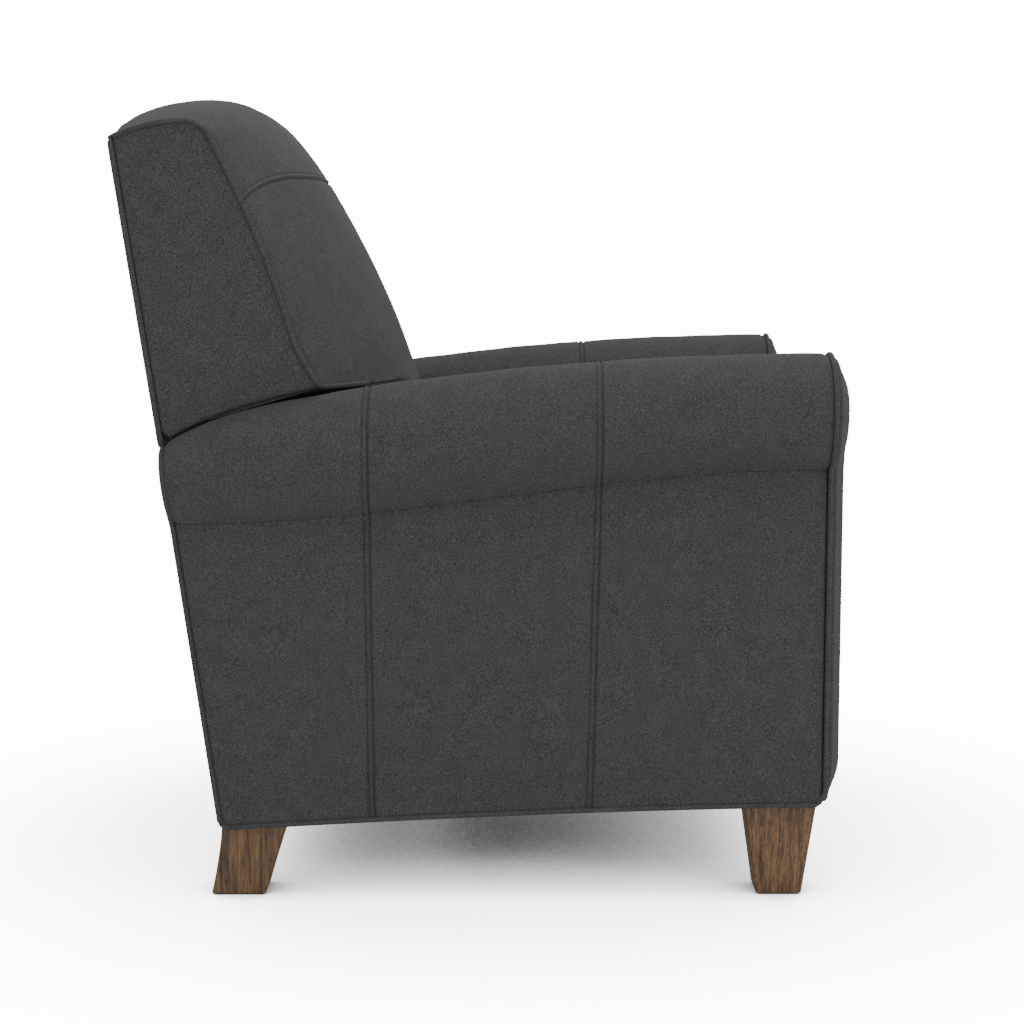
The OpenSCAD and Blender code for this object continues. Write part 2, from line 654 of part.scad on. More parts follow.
// Seat side plate: carries the seat rails on its flange and hangs from the swing link by a lug
module seat_plate() {
    color(steel) {
        slab(seat_x, steel_t) difference() {
            union() {
                translate([-330, back_knee[1] - 6]) square([330 + pivot_y, flange_z - back_knee[1] + 6]);
                translate(back_knee) circle(14);
                bar([swing_foot[0], flange_z - 30], swing_foot, 14);
            }
            holes([back_knee, swing_foot, rear_link_top, front_link_top], fit);
        }
        translate([seat_x + steel_t - 32, -seat_rail_front + 4, flange_z])
            cube([32, seat_rail_front + seat_rail_rear - 8, steel_t]);
    }
}
module seat_rivets() {
    color(zinc) pair() {
        rivet(back_knee, seat_x, swing_x + steel_t);
        rivet(swing_foot, seat_x, swing_x + steel_t);
        rivet(rear_link_top, turn_x, seat_x + steel_t);
        rivet(front_link_top, turn_x, seat_x + steel_t);
    }
}
module swing_links() {
    color(steel) pair() slab(swing_x, steel_t) difference() {
        bar(swing_top, swing_foot, 14);
        holes([swing_top], fit);
        holes([swing_foot], loop_fit);
    }
}

// Footrest links, folded
module footrest_rear_links() {
    color(steel) pair() slab(turn_x, steel_t) difference() {
        union() {
            bar(rear_link_top, rear_link_foot, link_half);
            translate(rear_link_top) circle(boss_r + 1);
            translate(rear_link_foot) circle(boss_r);
        }
        holes([rear_link_top, rear_link_foot], fit);
    }
}
module torque_tube() {
    color(steel) translate([-turn_x, rear_link_top[0], rear_link_top[1]]) rotate([0, 90, 0]) difference() {
        cylinder(d = tube_d, h = 2 * turn_x);
        translate([0, 0, -1]) cylinder(d = tube_d - 2 * tube_wall, h = 2 * turn_x + 2);
    }
}
module rear_link_rivets() {
    color(zinc) pair() rivet(rear_link_foot, lower_x, turn_x + steel_t);
}
module footrest_front_links() {
    color(steel) pair() slab(turn_x, steel_t) difference() {
        union() {
            bar(front_link_top, front_link_foot, link_half);
            bar(front_link_foot, front_link_pair, link_half);
            for (p = [front_link_top, front_link_foot, front_link_pair]) translate(p) circle(boss_r);
        }
        holes([front_link_top, front_link_pair], fit);
        holes([front_link_foot], loop_fit);
    }
}
module front_link_rivets() {
    color(zinc) pair() {
        rivet(front_link_pair, upper_x, turn_x + steel_t);
        collar(front_link_pair, upper_x + steel_t + 0.3, turn_x);
    }
}
module footrest_lower_arms() {
    color(steel) pair() slab(lower_x, steel_t) difference() {
        union() {
            bar(rear_link_foot, front_link_foot, link_half);
            bar(front_link_foot, board_pivot, link_half);
            for (p = [rear_link_foot, front_link_foot, board_pivot]) translate(p) circle(boss_r);
        }
        holes([rear_link_foot, front_link_foot, board_pivot], fit);
    }
}
module lower_arm_rivets() {
    color(zinc) pair() {
        rivet(front_link_foot, lower_x, turn_x + steel_t);
        rivet(board_pivot, bracket_x, lower_x + steel_t);
        collar(board_pivot, bracket_x + steel_t + 0.3, lower_x);
    }
}
module footrest_upper_arms() {
    color(steel) pair() slab(upper_x, steel_t) difference() {
        union() {
            bar(front_link_pair, board_pair, link_half - 1);
            for (p = [front_link_pair, board_pair]) translate(p) circle(boss_r);
        }
        holes([front_link_pair], fit);
        holes([board_pair], loop_fit);
    }
}
module footrest_brackets() {
    low = board_pivot_z - 26;
    color(steel) pair() {
        slab(bracket_x, steel_t) difference() {
            union() {
                bar(board_pivot, board_pair, boss_r + 1);
                translate([-board_back + 0.3, low]) square([board_back - board_pivot_y - 9, pair_pitch + 48]);
            }
            holes([board_pivot, board_pair], fit);
        }
        translate([bracket_x - 36, -board_back + 0.3, low]) cube([36, steel_t, pair_pitch + 48]);
    }
}
module footrest_rivets() {
    color(zinc) pair() rivet(board_pair, bracket_x, upper_x + steel_t);
}
module footrest_board() {
    half = cushion_half - 6;
    color(wood) translate([-half, -board_face, board_mid - board_h / 2]) cube([2 * half, board_t, board_h]);
}
module footrest_pad() {
    color(fabric) translate([0, -board_face - 0.4, board_mid]) rotate([90, 0, 0])
        pillow(cushion_half, 0, board_h / 2 + 2, pad_t / 2, pad_t / 2, pad_crown, 0, 0, 9, 20);
}

right() arm_frame();  // arm_frame_right
left() arm_frame();  // arm_frame_left
right() arm_cover();  // arm_cover_right
left() arm_cover();  // arm_cover_left
right() outside_panel();  // outside_panel_right
left() outside_panel();  // outside_panel_left
right() arm_front_panel();  // arm_front_panel_right
left() arm_front_panel();  // arm_front_panel_left
right() arm_front_welt();  // arm_front_welt_right
left() arm_front_welt();  // arm_front_welt_left
rear_panel();
front_rail();
rear_rail();
corner_blocks();
right() front_leg();  // front_leg_right
left() front_leg();  // front_leg_left
right() rear_leg();  // rear_leg_right
left() rear_leg();  // rear_leg_left
leg_bolts();
leg_glides();
right() frame_plate();  // frame_plate_right
left() frame_plate();  // frame_plate_left
frame_plate_screws();
frame_rivets();
back_cushion();
right() back_post();  // back_post_right
left() back_post();  // back_post_left
back_rail(wing_cushion, back_len - 58, back_len - 34, -40, 34.5);  // back_top_rail
back_rail(wing_cushion, 60, 84, -40, 34.5);  // back_middle_rail
back_rail(swing_x - post_w - 0.3, -back_foot + 6, -back_foot + 40, -40, 34.5);  // back_bottom_rail
outside_back();
right() wing_panel();  // wing_panel_right
left() wing_panel();  // wing_panel_left
right() wing_welt();  // wing_welt_right
left() wing_welt();  // wing_welt_left
back_brackets();
back_bolts();
back_webbing();
seat_cushion();
right() seat_rail();  // seat_rail_right
left() seat_rail();  // seat_rail_left
seat_cross_rail(-seat_rail_front, 40);  // seat_front_rail
seat_cross_rail(seat_rail_rear - 40, 40);  // seat_rear_rail
seat_webbing();
right() seat_plate();  // seat_plate_right
left() seat_plate();  // seat_plate_left
seat_rivets();
swing_links();
footrest_rear_links();
torque_tube();
rear_link_rivets();
footrest_front_links();
front_link_rivets();
footrest_lower_arms();
lower_arm_rivets();
footrest_upper_arms();
footrest_brackets();
footrest_rivets();
footrest_board();
footrest_pad();
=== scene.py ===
# High-leg recliner: the upholstery, wood and steel of the chair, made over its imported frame.
# Lengths are in metres. +Z is up, the chair faces -Y, and the sitter's left is +X.
import json
from math import cos, pi, radians, sin, tan

import bmesh
import bpy
import numpy as np
from bpy.props import FloatProperty, FloatVectorProperty, PointerProperty
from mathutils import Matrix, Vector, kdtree


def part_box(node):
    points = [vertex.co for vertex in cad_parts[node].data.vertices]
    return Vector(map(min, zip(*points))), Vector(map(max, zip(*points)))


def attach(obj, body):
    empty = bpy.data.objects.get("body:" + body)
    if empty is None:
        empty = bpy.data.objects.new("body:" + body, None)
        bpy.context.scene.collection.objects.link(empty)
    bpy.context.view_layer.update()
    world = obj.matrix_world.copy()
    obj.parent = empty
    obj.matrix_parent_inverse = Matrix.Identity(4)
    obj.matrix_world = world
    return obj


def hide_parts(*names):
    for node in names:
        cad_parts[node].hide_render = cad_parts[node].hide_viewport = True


bl_info = {
    "name": "High-leg recliner",
    "version": (1, 0, 0),
    "blender": (4, 5, 0),
    "location": "View3D > Sidebar > Recliner",
    "description": "Upholstery, wood and steel of a push-back recliner",
    "category": "Object",
}

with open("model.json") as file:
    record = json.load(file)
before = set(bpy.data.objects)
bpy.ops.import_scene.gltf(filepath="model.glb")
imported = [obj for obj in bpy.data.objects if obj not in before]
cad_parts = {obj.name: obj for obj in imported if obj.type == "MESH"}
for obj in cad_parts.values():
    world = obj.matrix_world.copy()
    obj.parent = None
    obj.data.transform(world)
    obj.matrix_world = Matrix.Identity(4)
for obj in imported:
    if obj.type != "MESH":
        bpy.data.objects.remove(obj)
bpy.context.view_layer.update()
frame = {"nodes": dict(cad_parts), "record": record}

# Factors that carry points from the left side to each side
SIDES = {"right": np.array([-1.0, 1, 1]), "left": np.array([1.0, 1, 1])}


def linear(hex_colour):
    """Linear red, green, blue and alpha of an sRGB colour written as #rrggbb."""
    channels = np.array([int(hex_colour[i:i + 2], 16) / 255 for i in (1, 3, 5)])
    low = channels / 12.92
    high = ((channels + 0.055) / 1.055) ** 2.4
    return (*np.where(channels <= 0.04045, low, high).tolist(), 1.0)


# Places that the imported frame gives
SEAT_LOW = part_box("seat_cushion")[0]
PAD_LOW, PAD_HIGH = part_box("footrest_pad")
PANEL_LOW, PANEL_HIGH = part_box("outside_panel_left")
LEG_LOW, LEG_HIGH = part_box("front_leg_left")
REAR_LEG_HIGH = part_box("rear_leg_left")[1]
# The legs' wood ends just over the glides' faces
LEG_BOTTOM = 0.0012

# Body, seen from the front
ARM_IN = 0.266
ARM_OUT = PANEL_HIGH[0]
PANEL_IN = PANEL_LOW[0]
ROLL_X = 0.336
WOOD_IN = 0.276

# Body, seen from the side
BODY_FRONT = -0.433
REAR_FOOT = 0.333
HEM_FRONT = 0.125
HEM_REAR = 0.095
BODY_LEAN = radians(8)
ARM_FRONT = BODY_FRONT - 0.008
ARM_REAR = REAR_FOOT + (0.581 - HEM_REAR) * tan(BODY_LEAN) - 0.010
ARM_LEN = ARM_REAR - ARM_FRONT
ARM_H = 0.696
CREASE_H = 0.553
DROP_END = 0.232

# Back, in its own lean: distances ahead of its rear face, and up from arm height
BACK_LEAN = radians(8.4)
BACK_REAR = 0.403
LEAN_Z = 0.582
WING_HALF = 0.345
CUSHION_WING = 0.3367
CUSHION_HALF = 0.261
BACK_CROWN = 0.100
HEAD_CROWN = 0.046
# The outside back's top at its corners, and how much higher its middle is
OUTSIDE_TOP = 0.382
OUTSIDE_CROWN = 0.024


def mix(a, b, t):
    """The value that lies t of the way from a to b."""
    return a + (b - a) * t


def rear_y(z):
    """The body's rear edge leans back by 8 degrees from its foot."""
    return REAR_FOOT + (z - HEM_REAR) * tan(BODY_LEAN)


def arm_share(y):
    """How far along the arm y lies, from 0 at the front to 1 at the rear."""
    return (y - ARM_FRONT) / ARM_LEN


def arm_top(y):
    """The arm's top falls with the square of the way back, and rounds over at the rear end."""
    share = arm_share(y)
    return ARM_H - 0.085 * share ** 2 - 0.030 * np.abs(share) ** 12


def crease(y):
    """The crease under the roll drops by 68 mm along half a cosine wave."""
    share = np.minimum(1, (y - BODY_FRONT) / (ARM_LEN - 0.022))
    return CREASE_H - 0.034 * (1 - np.cos(pi * share))


def hem(y):
    """The lower edge drops by 30 mm towards the rear, ever faster."""
    share = np.maximum(0, y - BODY_FRONT) / (REAR_FOOT - BODY_FRONT)
    return HEM_FRONT - (HEM_FRONT - HEM_REAR) * share ** 1.6


def roll_half(y):
    """The roll's outer half width shrinks from 70 to 48 mm with the cube of the way back."""
    return 0.070 - 0.022 * arm_share(y) ** 3


def back_at(ahead, up):
    """Turns a point ahead of the back's rear face and up it into y and z, by the back's lean."""
    y = BACK_REAR - ahead * cos(BACK_LEAN) + up * sin(BACK_LEAN)
    z = LEAN_Z + ahead * sin(BACK_LEAN) + up * cos(BACK_LEAN)
    return y, z


def crowned(x, half):
    """The crown across the back: whole in the middle, and fading with the 2.4th power of the way out."""
    return 1 - (np.abs(x) / half) ** 2.4


def in_back(points):
    """How far points lie ahead of the back's rear face, and up it."""
    y = points[..., 1] - BACK_REAR
    z = points[..., 2] - LEAN_Z
    return z * sin(BACK_LEAN) - y * cos(BACK_LEAN), y * sin(BACK_LEAN) + z * cos(BACK_LEAN)


def through(rows, places):
    """Catmull-Rom curve through rows of values, at places counted in rows."""
    rows = np.asarray(rows, float)
    rows = rows[:, None] if rows.ndim == 1 else rows
    padded = np.vstack([2 * rows[0] - rows[1], rows, 2 * rows[-1] - rows[-2]])
    first = np.clip(np.floor(places).astype(int), 0, len(rows) - 2)
    t = (places - first)[:, None]
    a, b, c, d = (padded[first + k] for k in range(4))
    return 0.5 * (2 * b + (c - a) * t + (2 * a - 5 * b + 4 * c - d) * t ** 2
                  + (3 * b - a - 3 * c + d) * t ** 3)


def close_set(start, end, count, marks=(), reach=0.012, step=0.0008):
    """Even places from start to end, with more of them near each mark."""
    places = [np.linspace(start, end, count)]
    places += [np.arange(mark - reach, mark + reach, step) for mark in marks]
    joined = np.unique(np.concatenate(places).round(6))
    return joined[(joined >= min(start, end)) & (joined <= max(start, end))]


def tall_rows(count):
    """Shares from 0 to 1 with closer rows at both ends."""
    return np.concatenate([[0, 0.004, 0.01, 0.02], np.linspace(0.04, 0.96, count), [0.98, 0.99, 0.996, 1]])


def both_ways(parts):
    """Places from 0 outwards, and the same on the other side."""
    x = np.concatenate(parts)
    return np.concatenate([-x[:0:-1], x])


# Stitches: how far they lie from their seam, their pitch, length and half thickness
STITCH_OFF = 0.0068
STITCH_PITCH = 0.0042
STITCH_LONG = 0.0031
STITCH_THICK = 0.00055


def seam_relief(distance):
    """A topstitched seam: a groove at 0, a raised band beside it and a stitch line 7 mm away."""
    groove = -0.0026 * np.exp(-(distance / 0.0015) ** 2)
    band = 0.0009 * np.exp(-((distance - 0.0037) / 0.0026) ** 2)
    stitch = -0.0013 * np.exp(-((distance - STITCH_OFF) / 0.0014) ** 2)
    return groove + band + stitch


def slow_wave(y, z, size=0.07, depth=0.0006):
    """A soft unevenness of the filling: three crossed waves of unlike lengths."""
    a = np.sin(2 * pi * (y / size + 0.3 * z / size))
    b = np.sin(2 * pi * (0.61 * z / size - 0.37 * y / size) + 1.3)
    c = np.sin(2 * pi * (0.43 * y / size + 0.52 * z / size) + 4.1)
    return depth * (a + b + c) / 3


def edge_distance(points, outline):
    """Distance in the plane from each point to the nearest stretch of a closed outline."""
    start = outline
    along = np.roll(outline, -1, axis=0) - start
    length2 = np.maximum((along ** 2).sum(1), 1e-16)
    flat = points.reshape(-1, 2)
    best = np.full(len(flat), 1e9)
    for first in range(0, len(flat), 2000):
        part = flat[first:first + 2000, None, :] - start[None]
        t = np.clip((part * along).sum(2) / length2, 0, 1)
        gap = part - t[..., None] * along
        best[first:first + 2000] = np.sqrt((gap ** 2).sum(2).min(1))
    return best.reshape(points.shape[:-1])


def padded_height(distance, edge, crown, reach):
    """Height of a padded face: a quarter round at its edge, then a crown that levels off."""
    inside = edge - np.minimum(distance, edge)
    rounded = np.sqrt(np.maximum(edge ** 2 - inside ** 2, 0))
    return rounded + crown * (1 - np.exp(-(distance / reach) ** 2))


def grid_normals(grid, wrap):
    """Unit normals of a grid of points, from the cross product of its two directions."""
    along = np.gradient(grid, axis=0)
    if wrap:
        across = np.roll(grid, -1, axis=1) - np.roll(grid, 1, axis=1)
    else:
        across = np.gradient(grid, axis=1)
    normal = np.cross(along, across)
    return normal / np.maximum(np.linalg.norm(normal, axis=2, keepdims=True), 1e-12)


def grid_quads(rows, cols, wrap):
    """Faces of a grid; wrap joins its last column to the first."""
    r, c = np.meshgrid(np.arange(rows - 1), np.arange(cols if wrap else cols - 1), indexing="ij")
    n = (c + 1) % cols
    quads = np.stack([r * cols + c, r * cols + n, (r + 1) * cols + n, (r + 1) * cols + c], -1)
    return quads.reshape(-1, 4).tolist()


def add_piece(name, skin, body, key="fabric", sharp=40, weld=1e-5):
    """Makes a closed mesh of a skin's points and faces, in the finish of that key. It faces
    outwards and rides on a body."""
    points, faces = skin
    mesh = bpy.data.meshes.new(name)
    mesh.from_pydata(points.reshape(-1, 3).tolist(), [], faces)
    shell = bmesh.new()
    shell.from_mesh(mesh)
    bmesh.ops.remove_doubles(shell, verts=shell.verts[:], dist=weld)
    bmesh.ops.recalc_face_normals(shell, faces=shell.faces[:])
    if shell.calc_volume(signed=True) < 0:
        bmesh.ops.reverse_faces(shell, faces=shell.faces[:])
    shell.to_mesh(mesh)
    shell.free()
    mesh.polygons.foreach_set("use_smooth", np.ones(len(mesh.polygons), bool))
    mesh.set_sharp_from_angle(angle=radians(sharp))
    mesh.materials.append(finish(key))
    piece = bpy.data.objects.new(name, mesh)
    bpy.context.scene.collection.objects.link(piece)
    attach(piece, body)
    return piece


def ring_skin(rings):
    """Points and faces of a skin over closed rings, with a face across each end ring."""
    rows, cols = rings.shape[:2]
    ends = [list(range(cols)), list(range((rows - 1) * cols, rows * cols))]
    return rings, grid_quads(rows, cols, True) + ends


def coordinates(mesh):
    """A mesh's points as rows of x, y and z."""
    flat = np.empty(3 * len(mesh.vertices))
    mesh.vertices.foreach_get("co", flat)
    return flat.reshape(-1, 3)


def settled(rings, is_held, pressure, cap, voxel=0.006, last_frame=20):
    """How far each point of a cushion's rings moves when its filling pushes out.

    A remeshed copy of the skin runs as cloth under pressure, without gravity, with its held places
    pinned. No point moves farther than cap. The fine skin takes the copy's move, weighted by the
    distance to the four nearest points and smoothed over the rings.
    """
    scene = bpy.context.scene
    points, faces = ring_skin(rings)
    mesh = bpy.data.meshes.new("filling")
    mesh.from_pydata(points.reshape(-1, 3).tolist(), [], faces)
    copy = bpy.data.objects.new("filling", mesh)
    scene.collection.objects.link(copy)
    grid = copy.modifiers.new("grid", "REMESH")
    grid.mode = "VOXEL"
    grid.voxel_size = voxel
    graph = bpy.context.evaluated_depsgraph_get()
    copy.data = bpy.data.meshes.new_from_object(copy.evaluated_get(graph))
    copy.modifiers.remove(grid)
    start = coordinates(copy.data)
    held = copy.vertex_groups.new(name="held")
    held.add(np.flatnonzero(is_held(start)).tolist(), 1.0, "REPLACE")
    cloth = copy.modifiers.new("cloth", "CLOTH")
    for key, value in {"vertex_group_mass": held.name, "quality": 5, "tension_stiffness": 3.0,
                       "compression_stiffness": 3.0, "shear_stiffness": 1.0, "bending_stiffness": 0.1,
                       "use_pressure": True, "uniform_pressure_force": pressure}.items():
        setattr(cloth.settings, key, value)
    cloth.settings.effector_weights.gravity = 0
    cloth.point_cache.frame_start = 1
    cloth.point_cache.frame_end = last_frame
    for frame_number in range(1, last_frame + 1):
        scene.frame_set(frame_number)
    graph = bpy.context.evaluated_depsgraph_get()
    move = coordinates(copy.evaluated_get(graph).data) - start
    length = np.linalg.norm(move, axis=1, keepdims=True)
    move *= np.minimum(1, cap / np.maximum(length, 1e-9))
    scene.frame_set(1)
    bpy.data.objects.remove(copy)
    tree = kdtree.KDTree(len(start))
    for i, point in enumerate(start):
        tree.insert(point, i)
    tree.balance()
    fine = np.empty((points.size // 3, 3))
    for i, point in enumerate(points.reshape(-1, 3)):
        near = tree.find_n(point, 4)
        weight = np.array([1 / (distance ** 2 + 1e-6) for _, _, distance in near])
        fine[i] = weight @ move[[index for _, index, _ in near]] / weight.sum()
    fine = fine.reshape(rings.shape)
    for _ in range(4):
        fine[1:-1] = 0.25 * fine[:-2] + 0.5 * fine[1:-1] + 0.25 * fine[2:]
        fine = 0.25 * np.roll(fine, 1, 1) + 0.5 * fine + 0.25 * np.roll(fine, -1, 1)
    return fine


def sandwich(front, back):
    """Points and faces of a closed shell between two grids of the same size."""
    rows, cols = front.shape[:2]
    count = rows * cols
    faces = grid_quads(rows, cols, False)
    rear = [[i + count for i in reversed(quad)] for quad in faces]
    rim = border(np.arange(count).reshape(rows, cols))
    wall = [[a, b, b + count, a + count] for a, b in zip(rim, np.roll(rim, -1))]
    return np.concatenate([front.reshape(-1, 3), back.reshape(-1, 3)]), faces + rear + wall


def border(grid):
    """The entries along a grid's border, once around."""
    return np.concatenate([grid[0, :-1], grid[:-1, -1], grid[-1, :0:-1], grid[:0:-1, 0]])


def tube_rings(path, radius, sides=12):
    """Rings of a round tube along a path, turned as little as possible from ring to ring."""
    path = np.asarray(path, float)
    ahead = np.gradient(path, axis=0)
    ahead /= np.linalg.norm(ahead, axis=1, keepdims=True)
    side = np.zeros_like(path)
    start = np.cross(ahead[0], [0.0, 0.0, 1.0])
    if np.linalg.norm(start) < 0.1:
        start = np.cross(ahead[0], [1.0, 0.0, 0.0])
    side[0] = start
    for i in range(1, len(path)):
        side[i] = side[i - 1] - ahead[i] * (side[i - 1] @ ahead[i])
        side[i] /= np.linalg.norm(side[i])
    side /= np.linalg.norm(side, axis=1, keepdims=True)
    up = np.cross(ahead, side)
    turn = np.arange(sides) * 2 * pi / sides
    ring = np.cos(turn)[None, :, None] * side[:, None] + np.sin(turn)[None, :, None] * up[:, None]
    return path[:, None] + radius * ring


def even_path(path, step):
    """Points at even steps along a path."""
    path = np.asarray(path, float)
    run = np.concatenate([[0], np.cumsum(np.linalg.norm(np.diff(path, axis=0), axis=1))])
    keep = np.concatenate([[True], np.diff(run) > 1e-7])
    run, path = run[keep], path[keep]
    places = np.linspace(0, run[-1], max(3, int(run[-1] / step)))
    return np.stack([np.interp(places, run, path[:, k]) for k in range(3)], 1)


def rounded_path(corners, step=0.003, passes=3):
    """Even points along a row of corners, with the corners cut back a few times."""
    path = even_path(corners, step)
    for _ in range(passes):
        path[1:-1] = 0.25 * path[:-2] + 0.5 * path[1:-1] + 0.25 * path[2:]
    return path


def add_welt(name, path, diameter, body):
    """A welt cord: a tube along its path, pinched a little between its stitches."""
    path = rounded_path(path)
    rings = tube_rings(path, diameter / 2)
    pinch = 1 + 0.03 * np.sin(np.arange(len(path)) * 1.9)
    rings = path[:, None] + (rings - path[:, None]) * pinch[:, None, None]
    return add_piece(name, ring_skin(rings), body)


def add_stitches(name, path, outward, body):
    """A row of stitches along a path: small closed beads of thread, six-sided and four rings long."""
    path = even_path(path, STITCH_PITCH) if np.ndim(outward) == 1 else path
    outward = np.broadcast_to(np.asarray(outward, float), path.shape)
    ahead = np.gradient(path, axis=0)
    ahead /= np.linalg.norm(ahead, axis=1, keepdims=True)
    out = outward - ahead * (outward * ahead).sum(1, keepdims=True)
    out /= np.linalg.norm(out, axis=1, keepdims=True)
    side = np.cross(ahead, out)
    path, ahead, out, side = (rows[:, None, None] for rows in (path, ahead, out, side))
    turn = np.arange(6)[:, None] * pi / 3
    places = np.array([-0.5, -0.3, 0.3, 0.5])[:, None, None]
    sizes = np.array([0.35, 1.0, 1.0, 0.35])[:, None, None]
    around = np.cos(turn) * out + np.sin(turn) * side
    bead = path + places * STITCH_LONG * ahead + sizes * STITCH_THICK * around
    one = grid_quads(4, 6, True) + [list(range(5, -1, -1)), list(range(18, 24))]
    faces = [[i + 24 * k for i in face] for k in range(len(path)) for face in one]
    return add_piece(name, (bead, faces), body, "thread", weld=1e-7)


# Materials


def add(tree, kind, inputs=None, **settings):
    """Adds a node with its settings; each input is a value or a socket to link."""
    node = tree.nodes.new(kind)
    for key, value in settings.items():
        setattr(node, key, value)
    for key, value in (inputs or {}).items():
        if isinstance(value, bpy.types.NodeSocket):
            tree.links.new(value, node.inputs[key])
        else:
            node.inputs[key].default_value = value
    return node


def start_material(name, values):
    """A material with a shader of those values: itself, its tree, its shader and Object coordinates."""
    material = bpy.data.materials.new(name)
    material.use_nodes = True
    tree = material.node_tree
    tree.nodes.clear()
    shader = add(tree, "ShaderNodeBsdfPrincipled", values)
    add(tree, "ShaderNodeOutputMaterial", {"Surface": shader.outputs["BSDF"]})
    place = add(tree, "ShaderNodeTexCoord").outputs["Object"]
    return material, tree, shader, place


def noise(tree, place, scale, detail=2.0, rough=0.5):
    """Noise of a scale per metre, which may differ along x, y and z."""
    turned = add(tree, "ShaderNodeMapping", {"Vector": place, "Scale": np.broadcast_to(scale, 3).tolist()})
    node = add(tree, "ShaderNodeTexNoise",
               {"Vector": turned.outputs["Vector"], "Scale": 1.0, "Detail": detail, "Roughness": rough})
    return node.outputs["Fac"]


def ramp(tree, fac, *stops):
    """Ramp between stops: each a position, and a linear colour, a hex sRGB colour or a grey value."""
    node = add(tree, "ShaderNodeValToRGB", {"Fac": fac})
    elements = node.color_ramp.elements
    while len(elements) < len(stops):
        elements.new(0.5)
    for element, (position, colour) in zip(elements, stops):
        element.position = position
        if isinstance(colour, str):
            colour = linear(colour)
        elif isinstance(colour, float):
            colour = (colour, colour, colour, 1)
        element.color = colour
    return node.outputs["Color"]


def total(tree, a, b, weight_a=1.0, weight_b=1.0):
    """Weighted sum of two values."""
    first = add(tree, "ShaderNodeMath", {0: a, 1: weight_a}, operation="MULTIPLY")
    second = add(tree, "ShaderNodeMath", {0: b, 1: weight_b, 2: first.outputs[0]}, operation="MULTIPLY_ADD")
    return second.outputs[0]


def tint(tree, shader, fac, *stops):
    """Takes the base colour from a ramp over a value."""
    tree.links.new(ramp(tree, fac, *stops), shader.inputs["Base Color"])


def emboss(tree, shader, height, strength, distance):
    """Bumps the face by a value."""
    bump = add(tree, "ShaderNodeBump", {"Height": height, "Strength": strength, "Distance": distance})
    tree.links.new(bump.outputs["Normal"], shader.inputs["Normal"])


def brushed_polyester(dark, light):
    """Brushed polyester weave: piece-dyed charcoal, finely speckled where single threads lie darker.
    Threads of about 0.6 mm cross in a plain weave, drawn at 0.9 mm so that they still show. The nap
    gives a dull face with a faint lighter rim."""
    material, tree, shader, place = start_material("brushed_polyester", {
        "Roughness": 0.93, "Specular IOR Level": 0.2, "Sheen Weight": 0.08, "Sheen Roughness": 0.45,
        "Sheen Tint": linear("#c8c8c8")})
    fine = 1000 / 0.9
    long = fine / 2.5
    along_x = noise(tree, place, (long, fine, fine))
    along_y = noise(tree, place, (fine, long, fine))
    along_z = noise(tree, place, (fine, fine, long))
    threads = total(tree, total(tree, along_x, along_y, 0.34, 0.33), along_z, 1.0, 0.33)
    nap = noise(tree, place, 38, 3.0, 0.6)
    tint(tree, shader, total(tree, threads, nap, 0.94, 0.06), (0.42, dark), (0.58, light))
    emboss(tree, shader, threads, 0.45, 0.0007)
    return material


def spun_thread(colour):
    """Spun polyester sewing thread: the fabric's colour, a shade darker, with a fine twist."""
    material, tree, shader, place = start_material("spun_thread", {"Roughness": 0.7, "Sheen Weight": 0.15})
    tint(tree, shader, noise(tree, place, 2600, 1.0), (0.3, "#29292b"), (0.7, colour))
    return material


def stained_walnut(dark, light):
    """Walnut-stained hardwood under satin lacquer: straight grain up the leg, fine growth bands and
    open pores as short dark strokes about 0.5 mm wide and 7 mm long."""
    material, tree, shader, place = start_material("stained_walnut",
                                                   {"Coat Weight": 0.15, "Coat Roughness": 0.3})
    bands = noise(tree, place, (150, 150, 7), 4.0, 0.65)
    fibres = noise(tree, place, (480, 480, 14), 3.0, 0.7)
    pores = noise(tree, place, (900, 900, 70), 2.0, 0.6)
    middle = tuple(0.5 * (a + b) for a, b in zip(dark, light))
    figure = total(tree, bands, fibres, 0.6, 0.4)
    colour = ramp(tree, figure, (0.38, dark), (0.5, middle), (0.61, light))
    open_pore = ramp(tree, pores, (0.37, 0.2), (0.45, 1.0))
    stained = add(tree, "ShaderNodeMix", {"Factor": 0.75, "A": colour, "B": open_pore},
                  data_type="RGBA", blend_type="MULTIPLY")
    tree.links.new(stained.outputs["Result"], shader.inputs["Base Color"])
    tree.links.new(ramp(tree, fibres, (0.3, 0.5), (0.7, 0.36)), shader.inputs["Roughness"])
    emboss(tree, shader, total(tree, fibres, pores, 0.4, 0.6), 0.3, 0.0004)
    return material


def bare_plywood():
    """Unfinished birch plywood and pine: pale, with a long soft grain and no shine."""
    material, tree, shader, place = start_material("bare_plywood", {"Roughness": 0.75})
    grain = noise(tree, place, (160, 9, 160), 4.0, 0.6)
    tint(tree, shader, grain, (0.3, "#b08a5c"), (0.55, "#d0ae7e"), (0.75, "#dcc193"))
    emboss(tree, shader, grain, 0.2, 0.0005)
    return material


def enamelled_steel():
    """Black stoving enamel on rolled steel strip: smooth, half matt, with a faint orange peel."""
    material, tree, shader, place = start_material("enamelled_steel", {"Roughness": 0.42})
    peel = noise(tree, place, 700)
    tint(tree, shader, peel, (0.3, "#17181a"), (0.7, "#222326"))
    emboss(tree, shader, peel, 0.12, 0.0003)
    return material


def zinc_plate():
    """Bright zinc plating on cold-headed steel: pale grey metal with cloudy patches."""
    material, tree, shader, place = start_material("zinc_plate", {"Metallic": 1.0})
    cloud = noise(tree, place, 260, 3.0)
    tint(tree, shader, cloud, (0.3, "#9a9c9e"), (0.7, "#c4c6c8"))
    tree.links.new(ramp(tree, cloud, (0.3, 0.42), (0.7, 0.28)), shader.inputs["Roughness"])
    return material


